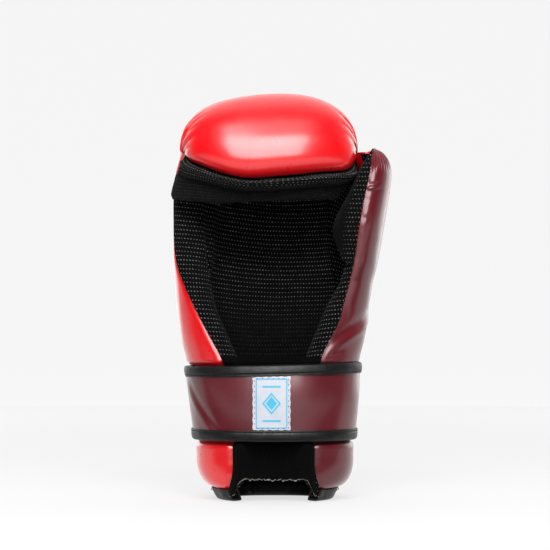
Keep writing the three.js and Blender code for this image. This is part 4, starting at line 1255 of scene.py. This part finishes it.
def band_point(seam, share, drop, offset):
    """A point of the band, by the share along it, the share of its height downwards and its offset."""
    hug = smoothstep(np.minimum(share, 1 - share), -0.01, 0.12)
    offset = offset * lerp(0.12, 1.0, hug)
    clearance = BAND_CLEARANCE * lerp(0.3, 1.0, hug)
    emerging = smoothstep(drop, 0, 0.16)
    place = share * BAND_SEAM_SHARE * (len(seam) - 1)
    top = along_line(place, np.arange(len(seam)), seam)
    first = lerp(BAND_LEFT_DROP, BAND_FRONT_DROP, share * 2)
    second = lerp(BAND_FRONT_DROP, BAND_RIGHT_DROP, share * 2 - 1)
    bottom = CORNER_HEIGHT - np.where(share < 0.5, first, second)
    height = lerp(top[..., 2] - BAND_TOP_GAP, bottom, drop)
    section = hand_section(height)
    ends = [lerp(above, below, drop) for above, below in zip(BAND_TOP_ANGLES, BAND_BOTTOM_ANGLES)]
    on_hand = section_point(section, lerp(*ends, share), 0.0, -offset - clearance)
    outward = unit(stack(top[..., 0] - section.middle, top[..., 1] - SIDE_LINE, 0 * share * drop))
    under_hood = top + outward * ((offset + GAP) * emerging - BAND_TUCK * (1 - emerging))[..., None]
    point = lerp(under_hood, on_hand, smoothstep(drop, 0, 0.5)[..., None])
    point[..., 2] = height
    return point


def hood_seam():
    """The hood's front seam at even column shares, as the band's places are counted."""
    corner = hand_section(CORNER_HEIGHT)
    base = section_point(corner, shell_angles(corner, np.linspace(0, 1, SHELL_COLUMNS + 1)))
    return hood_rows(base, corner.middle, column_of([1.0]), "outer", HOOD_BACK)[0]


def make_finger_band():
    seam = hood_seam()
    shares, drops = grid_shares(*BAND_GRID)
    share, drop = np.broadcast_arrays(shares, drops)
    fade = np.sqrt(np.sin(np.pi * share))
    middle = BAND_RIM_SHARE / 2
    inside = np.clip(1 - ((drop - middle) / (middle * 1.04)) ** 2, 0, 1)
    roll = BAND_RIM * np.sqrt(inside) * fade
    thickness = lerp(BAND, BAND_SECOND_LAYER, smoothstep(drop, middle, BAND_RIM_SHARE * 1.05))
    second = 0.9 * np.sin(np.pi * np.clip((drop - BAND_RIM_SHARE) / (1 - BAND_RIM_SHARE), 0, 1)) ** 0.7
    soft = 0.5 * np.sin(share * 23.0 + drop * 4.0) * np.sin(share * 11.0 + 1.0)
    outer_offset = thickness + roll + second + soft * smoothstep(drop, 0.03, 0.2) * 0.6
    outer_offset = outer_offset - BAND_CREASE * bell(drop, BAND_RIM_SHARE + 0.04, 0.035) * fade
    outer_offset = outer_offset * lerp(1.0, 0.35, smoothstep(drop, 0.9, 1.0))
    chance = np.random.default_rng(21)
    fray = BAND_FRAY * np.interp(shares, np.linspace(0, 1, 120), chance.uniform(-1, 1, 120))
    outer = band_point(seam, share, drop, outer_offset)
    inner = band_point(seam, share, drop, 0 * share + 0.1)
    for face in (outer, inner):
        face[..., 2] += fray * smoothstep(drop, 0.85, 1.0)
    uv = np.stack([share * BAND_LENGTH, -run_along(outer, 0)], axis=-1)
    body = Body("finger_band_cloth")
    body.add_sheet(outer, inner, uv)
    piece = settle(body.make([BAND_MESH]), "black_mesh", "finger_band")


# Thumb sleeve

def sleeve_point(share, rise, inset):
    mouth = lerp(SLEEVE_MOUTH_FRONT, SLEEVE_MOUTH_BACK, np.sin(share * math.pi / 2))
    height = lerp(mouth, THUMB_TIP - 0.6, rise)
    section = thumb_section(height)
    front = thumb_point(height, np.ones_like(height))
    back = thumb_point(height, np.zeros_like(height), SLEEVE_BACK_DEPTH)
    arch = np.sin(np.pi * share)
    swell = section.bulge * np.abs(arch) ** SLEEVE_SWELL
    closing = smoothstep(height, THUMB_TIP - 14.0, THUMB_TIP)
    off_seam = smoothstep(share, 0.0, 0.14)
    clear = lerp(0.2, lerp(pad_bulge(height) + SLEEVE + GAP * 2, 1.0, closing), off_seam)
    inward = inset * lerp(0.15, 1.0, off_seam)
    x = lerp(front[..., 0], back[..., 0], share) - clear - swell + inward
    y = lerp(front[..., 1], back[..., 1], (1 - np.cos(np.pi * share)) / 2) + inward * np.cos(np.pi * share)
    return stack(x, y, height)


def make_thumb_sleeve():
    share, rise = np.broadcast_arrays(*grid_shares(*SLEEVE_GRID))
    outer = sleeve_point(share, rise, 0.0)
    outer[..., 0] += 0.35 * waves(outer, 14.0, seed=31) * np.sin(np.pi * share)
    inner = sleeve_point(share, rise, SLEEVE)
    uv = np.stack([run_along(outer, 1), outer[..., 2]], axis=-1)
    body = Body("thumb_sleeve_cloth")
    body.add_sheet(outer, inner, uv)
    piece = settle(body.make([SLEEVE_MESH]), "black_mesh", "thumb_sleeve")


# Wrist

def elastic_front(heights, shares):
    """The elastic's front face, which bridges the hollow from the red seam to the maroon seam."""
    rows = column_of(heights)
    section = hand_section(rows)
    angle = -section.wrap
    left = section_point(section, angle)
    right = pad_point(rows, PAD_FRONT)
    left_ahead = section_direction(section, angle, -1)
    right_ahead = pad_edge_direction(rows, PAD_FRONT, 1)
    left_out = stack(left_ahead[..., 1], -left_ahead[..., 0], 0 * rows)
    right_out = stack(-right_ahead[..., 1], right_ahead[..., 0], 0 * rows)
    stand_off = EDGE_BULGE + LINING_GAP + LINING + ELASTIC_CLEARANCE
    start = (left + section_point(section, angle, 1.0)) / 2 + left_ahead * stand_off
    end = (right + pad_point(rows, PAD_FRONT, 1.0)) / 2 + right_ahead * stand_off
    bow = np.array([0.0, ELASTIC_BOW, 0.0])
    knots = [left + left_out * lift + left_ahead * step for step, lift in ELASTIC_SEAM_STEPS]
    knots += [lerp(start, end, share) + bow * part for share, part in ELASTIC_KNOTS]
    knots += [right + right_out * lift + right_ahead * step for step, lift in ELASTIC_SEAM_STEPS[::-1]]
    knots = np.concatenate(knots, axis=1)
    places = shares * (knots.shape[1] - 1)
    index = np.clip(places.astype(int), 0, knots.shape[1] - 2)
    part = (places - index).reshape(1, -1, 1)
    grid = lerp(knots[:, index], knots[:, index + 1], part)
    for _ in range(ELASTIC_SMOOTHING):
        grid[:, 1:-1] = (grid[:, :-2] + 2 * grid[:, 1:-1] + grid[:, 2:]) / 4
    return grid


def make_wrist_elastic():
    row_count, column_count = ELASTIC_GRID
    shares = np.linspace(0, 1, column_count)
    chance = np.random.default_rng(41)
    ragged = np.interp(shares, np.linspace(0, 1, 60), chance.uniform(-0.7, 0.7, 60))
    arch = ELASTIC_ARCH * np.sin(np.pi * shares) ** 0.8 + 0.8 * np.sin(shares * 9.0)
    heights = np.linspace(ELASTIC_BOTTOM, ELASTIC_TOP, row_count)
    flat = elastic_front(heights, shares)
    low = 1 - smoothstep(column_of(heights), ELASTIC_BOTTOM, 36.0)
    inside = smoothstep(np.minimum(shares, 1 - shares), 0.12, 0.3)
    front = flat.copy()
    ripple = ELASTIC_RIPPLE * np.sin(shares * 40.0 + 2.0 * np.sin(shares * 7.0))
    front[..., 1] += ripple * (0.3 + low) * inside
    legs = ELASTIC_LEGS * (1 - smoothstep(np.minimum(shares, 1 - shares), 0.12, 0.24))
    front[..., 2] += (arch + ragged - legs) * low**2
    thickness = lerp(0.5, ELASTIC, inside)
    back = front + stack(0 * shares, thickness, 0 * shares)
    uv = np.stack([run_along(flat, 1), flat[..., 2]], axis=-1)
    body = Body("wrist_elastic_panel")
    body.add_sheet(front, back, uv)
    # A pale strip hangs under the elastic's lower edge: painted light, standing in for the lit floor seen
    # through the gap below the elastic
    gap_light_root = front[0] + np.array([0.0, ELASTIC / 2, 0.0])
    drop = np.interp(shares, np.linspace(0, 1, 90), chance.uniform(0.1, 1.1, 90))
    drop = drop * np.sin(np.pi * shares) ** 0.5
    gap_light_top = gap_light_root + np.array([0.0, 0.0, 0.5])
    gap_light_low = gap_light_root - stack(0 * drop, 0 * drop, drop)
    thick = np.array([0.0, 0.35, 0.0])
    gap_light = np.stack([gap_light_top, gap_light_low])
    body.add_sheet(gap_light - thick, gap_light + thick, None, 1)
    piece = settle(body.make([RIB, PAINTED_GAP_LIGHT]), "black_elastic", "wrist_elastic")


def strap_point(degrees, height, distance):
    """A point of the strap's run, by the degrees along it, its height and its distance off the padding."""
    raised = STRAP_LIFT * smoothstep(degrees, 360 - STRAP_RAMP, 360 - STRAP_RAMP_END)
    section = hand_section(np.clip(height, STRAP_BOTTOM, STRAP_TOP - STRAP_RISE))
    stand_off = STRAP_CLEARANCE - STRAP_SINK + raised + distance
    point = section_point(section, STRAP_START - degrees, 0.0, -stand_off)
    return stack(point[..., 0], point[..., 1], height)


def strap_degrees(count):
    return np.linspace(0, 360 + STRAP_OVERLAP, count).reshape(1, -1)


def strap_top(degrees):
    middle = hand_section((STRAP_BOTTOM + STRAP_TOP) / 2)
    x = section_point(middle, STRAP_START - degrees)[..., 0]
    return strap_top_at(x)


def strap_bottom(degrees):
    return STRAP_BOTTOM + 0 * degrees


def make_wrist_strap():
    degrees = strap_degrees(STRAP_STEPS)
    low = STRAP_BOTTOM + EDGING_WALL + EDGING_GAP
    high = strap_top(degrees) - EDGING_WALL - EDGING_GAP
    rows = column_of(np.linspace(0, 1, STRAP_ROWS))
    height = lerp(low, high, rows)
    degrees = degrees + 0 * rows
    crown = 0.5 * np.sin(np.pi * rows)
    for place, middle, slope, width, depth in STRAP_FOLDS:
        line = middle + slope * (degrees - place)
        crown = crown + depth * bell(height, line, width) * bell(degrees, place, STRAP_FOLD_SPREAD)
    crown = crown + 0.25 * waves(strap_point(degrees, height, 0.0), 18.0, seed=51)
    edge = smoothstep(rows, 0.0, 0.12) * (1 - smoothstep(rows, 0.88, 1.0))
    outer = strap_point(degrees, height, STRAP + crown * edge)
    inner = strap_point(degrees, height, 0.0 * height)
    body = Body("wrist_strap_band")
    body.add_sheet(outer, inner)
    settle(body.make([MAROON]), "maroon_leather", "wrist_strap")


def make_stitch_row(name, line, outer_line, length):
    """Even stitches along a line. The second line lies off the surface, to show where outwards is."""
    places, directions, _ = resample(line, STITCH_PITCH)
    outer_places, _, _ = resample(outer_line, STITCH_PITCH)
    count = min(len(places), len(outer_places))
    places, directions = places[:count], directions[:count]
    normals = unit(outer_places[:count] - places)
    stitches = make_capsules(name, places, directions, normals, length, *STITCH_SIZE, [THREAD])
    settle(stitches, "black_binding")


def make_strap_binding(node, edge_at, sign, seed):
    degrees = strap_degrees(STRAP_STEPS)
    edge = edge_at(degrees)
    inner = -EDGING_GAP - EDGING_WALL
    outer = STRAP + EDGING_GAP + EDGING_WALL
    middle = (inner + outer) / 2
    half = (outer - inner) / 2
    legs = np.linspace(STRAP_BINDING_HEIGHT, half * 0.55, 16)
    turns = np.linspace(0, math.pi, 13)[1:-1]
    ripple = 0.14 * waves(strap_point(degrees, edge, 0 * degrees), 5.0, seed)[0]
    puffed = EDGING_PUFF * np.sin(np.pi * (legs - legs[-1]) / (legs[0] - legs[-1])) ** 0.6
    puffed = puffed - STITCH_DENT * bell(legs, STRAP_BINDING_HEIGHT - STITCH_INSET, 0.5)

    def outline(pushes, thickness):
        """Distances and depths below the edge, from the outer leg's foot over the edge to the inner leg's."""
        full = half - thickness
        bend = legs[-1] - thickness
        outside = [(middle + full + push, drop) for push, drop in zip(pushes, legs)]
        over = [(middle + full * math.cos(turn), legs[-1] - bend * math.sin(turn)) for turn in turns]
        inside = [(middle - full, drop) for drop in legs[::-1]]
        return np.array(outside + over + inside)

    faces = []
    for profile, rippled in ((outline(puffed, 0.0), 1.0), (outline(0 * puffed, EDGING_WALL), 0.0)):
        distance = column_of(profile[:, 0]) + rippled * ripple
        height = edge - sign * column_of(profile[:, 1])
        faces.append(strap_point(degrees + 0 * height, height, distance))
    name = node + "_edge"
    body = Body(name)
    body.add_sheet(*faces)
    settle(body.make([EDGING], 70.0), "black_binding", node)
    stitch_height = edge - sign * (STRAP_BINDING_HEIGHT - STITCH_INSET)
    line, outer_line = (
        strap_point(degrees, stitch_height, outer + off + ripple.reshape(1, -1))[0] for off in (0.15, 2.2)
    )
    make_stitch_row(name + "_stitches", line, outer_line, 2.3)


def make_label():
    row_count, column_count = LABEL_GRID
    columns = np.linspace(-0.5, 0.5, column_count)
    rows = column_of(np.linspace(0, 1, row_count))
    x = LABEL_SHIFT + LABEL_WIDTH * columns
    height = lerp(LABEL_LOW, label_high(x), rows)
    wavy = 0.18 * np.sin(rows * 40.0) * smoothstep(np.abs(columns), 0.42, 0.5) * np.sign(columns)
    x = x + wavy
    dip = 0.18 * np.sin(columns * 30.0) * smoothstep(np.abs(rows - 0.5), 0.45, 0.5) * np.sign(rows - 0.5)
    pucker = 0.16 * waves(stack(x, 0 * x, height), 5.0, seed=61)
    outer, inner = (label_point(x, height, off - STRAP_SINK) for off in (LABEL + pucker, 0.05 + 0 * x))
    for face in (outer, inner):
        face[..., 2] += dip
    middle_height = lerp(LABEL_LOW, label_high(LABEL_SHIFT), 0.5)
    uv = np.stack([x - LABEL_SHIFT, outer[..., 2] - middle_height], axis=-1)
    body = Body("woven_label")
    body.add_sheet(outer, inner, uv)
    settle(body.make([LABEL_CLOTH]), "label_cloth", "label")
    side = LABEL_WIDTH / 2 - LABEL_STITCH_INSETS[0]
    low = LABEL_LOW + LABEL_STITCH_INSETS[1]
    high = float(label_high(LABEL_SHIFT)) - LABEL_STITCH_INSETS[1]
    corners = [(-side, low), (side, low), (side, high), (-side, high), (-side, low)]
    outline = [np.linspace(first, second, 40)[:-1] for first, second in zip(corners, corners[1:])]
    flat = np.concatenate(outline)
    line = label_point(LABEL_SHIFT + flat[:, 0], flat[:, 1], LABEL + 0.2 - STRAP_SINK)
    places, directions, _ = resample(line, LABEL_STITCH_PITCH)
    normals = np.tile([0.0, -1.0, 0.0], (len(places), 1))
    stitches = make_capsules("label_stitches", places, directions, normals, 1.0, 0.45, 0.35, [THREAD])
    settle(stitches, "black_binding")


def cuff_edge(angles):
    """Points of the cuff's bottom edge and the directions inwards."""
    section = hand_section(RIM_TOP)
    base = section_point(section, angles)
    inward = unit(section_point(section, angles, 0.0, 1.0) - base)
    return base, inward


def make_cuff_binding():
    section = hand_section(RIM_TOP)
    angles = np.linspace(-float(section.wrap), float(section.thumb), CUFF_STEPS)
    base, inward = cuff_edge(angles)
    outer = GAP + BINDING
    inner = RIM_WALL + LINING_GAP + LINING + GAP
    crinkle = 0.3 * waves(base, 5.0, seed=71) + 0.2 * waves(base, 2.5, seed=72)
    steps = np.arange(CUFF_STEPS)
    crinkle = crinkle * lerp(2.2, 1.0, np.clip(np.minimum(steps, steps[::-1]) / 40.0, 0, 1))
    middle = (inner + BINDING - outer) / 2
    half = (inner + BINDING + outer) / 2
    heights = np.linspace(CUFF_BINDING_HEIGHT, CUFF_CORNER, 8)

    def outline(full, floor):
        outside = [(middle - full, height) for height in heights]
        turns = np.linspace(0, math.pi, 17)[1:-1]
        across = middle - full * signed_power(np.cos(turns), 0.45)
        over = list(zip(across, CUFF_CORNER - (CUFF_CORNER - floor) * np.sin(turns) ** 0.45))
        inside = [(middle + full, height) for height in heights[::-1]]
        return np.array(outside + over + inside)

    faces = []
    for full, floor, rippled in ((half, 0.0, 1.0), (half - BINDING, BINDING, 0.0)):
        across, up = (column_of(values) for values in outline(full, floor).T)
        push = np.where(across < middle, -1.0, 1.0)
        distance = across + rippled * crinkle * push * smoothstep(up, 0.5, 4.0)
        distance = distance + CUFF_LEAN * (1 - np.clip(up / CUFF_BINDING_HEIGHT, 0, 1))
        height = up + rippled * 0.5 * crinkle * smoothstep(up, 5.0, 8.0)
        place = base[None] + inward[None] * distance[..., None]
        place[..., 2] = np.maximum(height + 0 * distance, 0.0)
        faces.append(place)
    body = Body("cuff_binding_edge")
    body.add_sheet(*faces)
    settle(body.make([EDGING], 70.0), "black_binding", "cuff_binding")
    line = base + inward * column_of(-outer - 0.15 - crinkle * 0.8)
    line[:, 2] = CUFF_BINDING_HEIGHT - 1.5
    make_stitch_row("cuff_stitches", line, line - inward * 2.0, 2.2)


# Seam stitches

def make_zigzag(name, line, normals, pitch, reach, material, slot, stand_off=0.25):
    """Overcast stitches across a seam, leaning one way and the other."""
    places, directions, runs = resample(line, pitch)
    off = along_line(runs, line_runs(line), normals)
    across = unit(np.cross(directions, off))
    lean = np.where(np.arange(len(places)) % 2 == 0, 1.0, -1.0)[:, None]
    slanted = unit(across + directions * lean * 0.75)
    raised = places + unit(off) * stand_off
    stitches = make_capsules(name, raised, slanted, off, reach, 0.5, 0.45, [material])
    settle(stitches, slot)


def make_seam_stitches(shell, pad):
    wall = shell[:, 0]
    wall = wall[(wall[:, 2] > RIM_TOP) & (wall[:, 2] < CORNER_HEIGHT - 6)]
    away = unit(wall - stack(0.0, SIDE_LINE + 30.0, wall[:, 2]))
    make_zigzag("palm_seam_stitches", wall, away, 1.9, 1.6, THREAD, "black_binding")
    front = pad[:, -1]
    front = front[(front[:, 2] > RIM_TOP) & (front[:, 2] < THUMB_TIP - 2)]
    ahead = unit(np.tile([-0.35, -1.0, 0.0], (len(front), 1)))
    make_zigzag("thumb_seam_stitches", front, ahead, 2.9, 1.9, THREAD, "black_binding", 0.5)
    raised = front + ahead * 0.1
    make_zigzag("thumb_seam_threads", raised, ahead, 2.9, 0.9, RED_THREAD, "maroon_leather", 0.55)


# Stage, lights and camera

def make_backdrop(name, grid, glow, paper, lights_glove):
    """A pale surface with its own light. Either the camera alone sees it, or it lights the glove."""
    body = Body(name)
    body.add(grid / MM - SHIFT)
    graph = Graph(name)
    graph.set(color=(paper, paper, paper, 1.0), rough=0.9, specular=0.1)
    parts = graph.node("ShaderNodeSeparateXYZ", {"Vector": graph.place()})
    radius = graph.length(parts.outputs[0], parts.outputs[1])
    graph.put(graph.shader.inputs["Emission Color"], (1.0, 1.0, 1.0, 1.0))
    graph.put(graph.shader.inputs["Emission Strength"], graph.step(radius, *GLOW_EDGES, *glow))
    piece = body.make([graph.material], 180.0)
    piece.visible_camera = not lights_glove
    piece.visible_diffuse = lights_glove
    piece.visible_glossy = lights_glove
    piece.visible_shadow = False


def make_round(profile):
    """A surface turned about the Z axis, from its profile of radius and height."""
    turns = np.linspace(0, 2 * math.pi, 97)
    radius, height = (column_of(values) for values in zip(*profile))
    return stack(radius * np.cos(turns), radius * np.sin(turns), height)


def make_backdrops():
    """A pale floor with a wall all round it, and the sheets that throw the floor's light on the glove."""
    rise = BACKDROP_RADIUS - FLOOR_RADIUS
    floor = [(radius, 0.0) for radius in (0.0, 0.3, 0.6, 1.0, FLOOR_RADIUS)]
    wall = [
        (FLOOR_RADIUS + rise * math.sin(turn), rise * (1 - math.cos(turn)))
        for turn in np.radians(np.linspace(0, 90, 16))
    ]
    wall.append((BACKDROP_RADIUS, BACKDROP_HEIGHT))
    make_backdrop("pale_floor", make_round(floor), FLOOR_GLOW, FLOOR_PAPER, False)
    make_backdrop("pale_wall", make_round(wall), WALL_GLOW, 0.0, False)
    for name, front, back in BOUNCE_PARTS:
        bounce = stack(np.array([[-BOUNCE_SIDE, BOUNCE_SIDE]]), column_of([front, back]), BOUNCE_DROP)
        make_backdrop(name, bounce, BOUNCE_GLOW, BOUNCE_PAPER, True)


def make_light(name, place, target, size, power, lights, shines):
    data = bpy.data.lights.new(name, "AREA")
    data.shape = "RECTANGLE"
    data.size, data.size_y = size
    data.energy = power
    lamp = bpy.data.objects.new(name, data)
    bpy.context.scene.collection.objects.link(lamp)
    lamp.location = place
    direction = Vector(place) - Vector(target)
    lamp.rotation_euler = direction.to_track_quat("Z", "Y").to_euler()
    lamp.visible_diffuse = lights
    lamp.visible_glossy = shines


def make_camera():
    data = bpy.data.cameras.new("camera")
    data.sensor_width = SENSOR_WIDTH
    data.lens = CAMERA_LENS
    data.clip_end = 50.0
    camera = bpy.data.objects.new("camera", data)
    bpy.context.scene.collection.objects.link(camera)
    camera.location = (CAMERA_PLACE + SHIFT) * MM
    camera.rotation_euler = (math.radians(90) + math.atan(CAMERA_RISE), 0.0, 0.0)
    bpy.context.scene.camera = camera


def make_world():
    """A studio that is dark on the camera's side of the glove and pale on its other sides."""
    world = bpy.data.worlds.new("studio")
    world.use_nodes = True
    nodes, links = world.node_tree.nodes, world.node_tree.links
    background = next(node for node in nodes if node.type == "BACKGROUND")
    parts = nodes.new("ShaderNodeSeparateXYZ")
    links.new(nodes.new("ShaderNodeTexCoord").outputs["Generated"], parts.inputs[0])
    fade = nodes.new("ShaderNodeMapRange")
    fade.interpolation_type = "SMOOTHSTEP"
    for socket, value in zip(list(fade.inputs)[1:5], (*WORLD_EDGES, WORLD_FRONT, WORLD_BACK)):
        socket.default_value = value
    links.new(parts.outputs["Y"], fade.inputs[0])
    links.new(fade.outputs[0], background.inputs["Strength"])
    background.inputs["Color"].default_value = (1.0, 1.0, 1.0, 1.0)
    bpy.context.scene.world = world
    bpy.context.scene.view_settings.view_transform = "Standard"


make_camera()
make_world()
make_backdrops()
for light in LIGHTS:
    make_light(*light)
shell_skin = make_hand_shell()
pad_skin = make_thumb_pad()
make_thumb_web()
make_hand_lining()
make_thumb_lining()
make_finger_band()
make_thumb_sleeve()
make_wrist_elastic()
make_wrist_strap()
make_strap_binding("strap_binding_top", strap_top, 1.0, 81)
make_strap_binding("strap_binding_bottom", strap_bottom, -1.0, 82)
make_label()
make_cuff_binding()
make_seam_stitches(shell_skin, pad_skin)
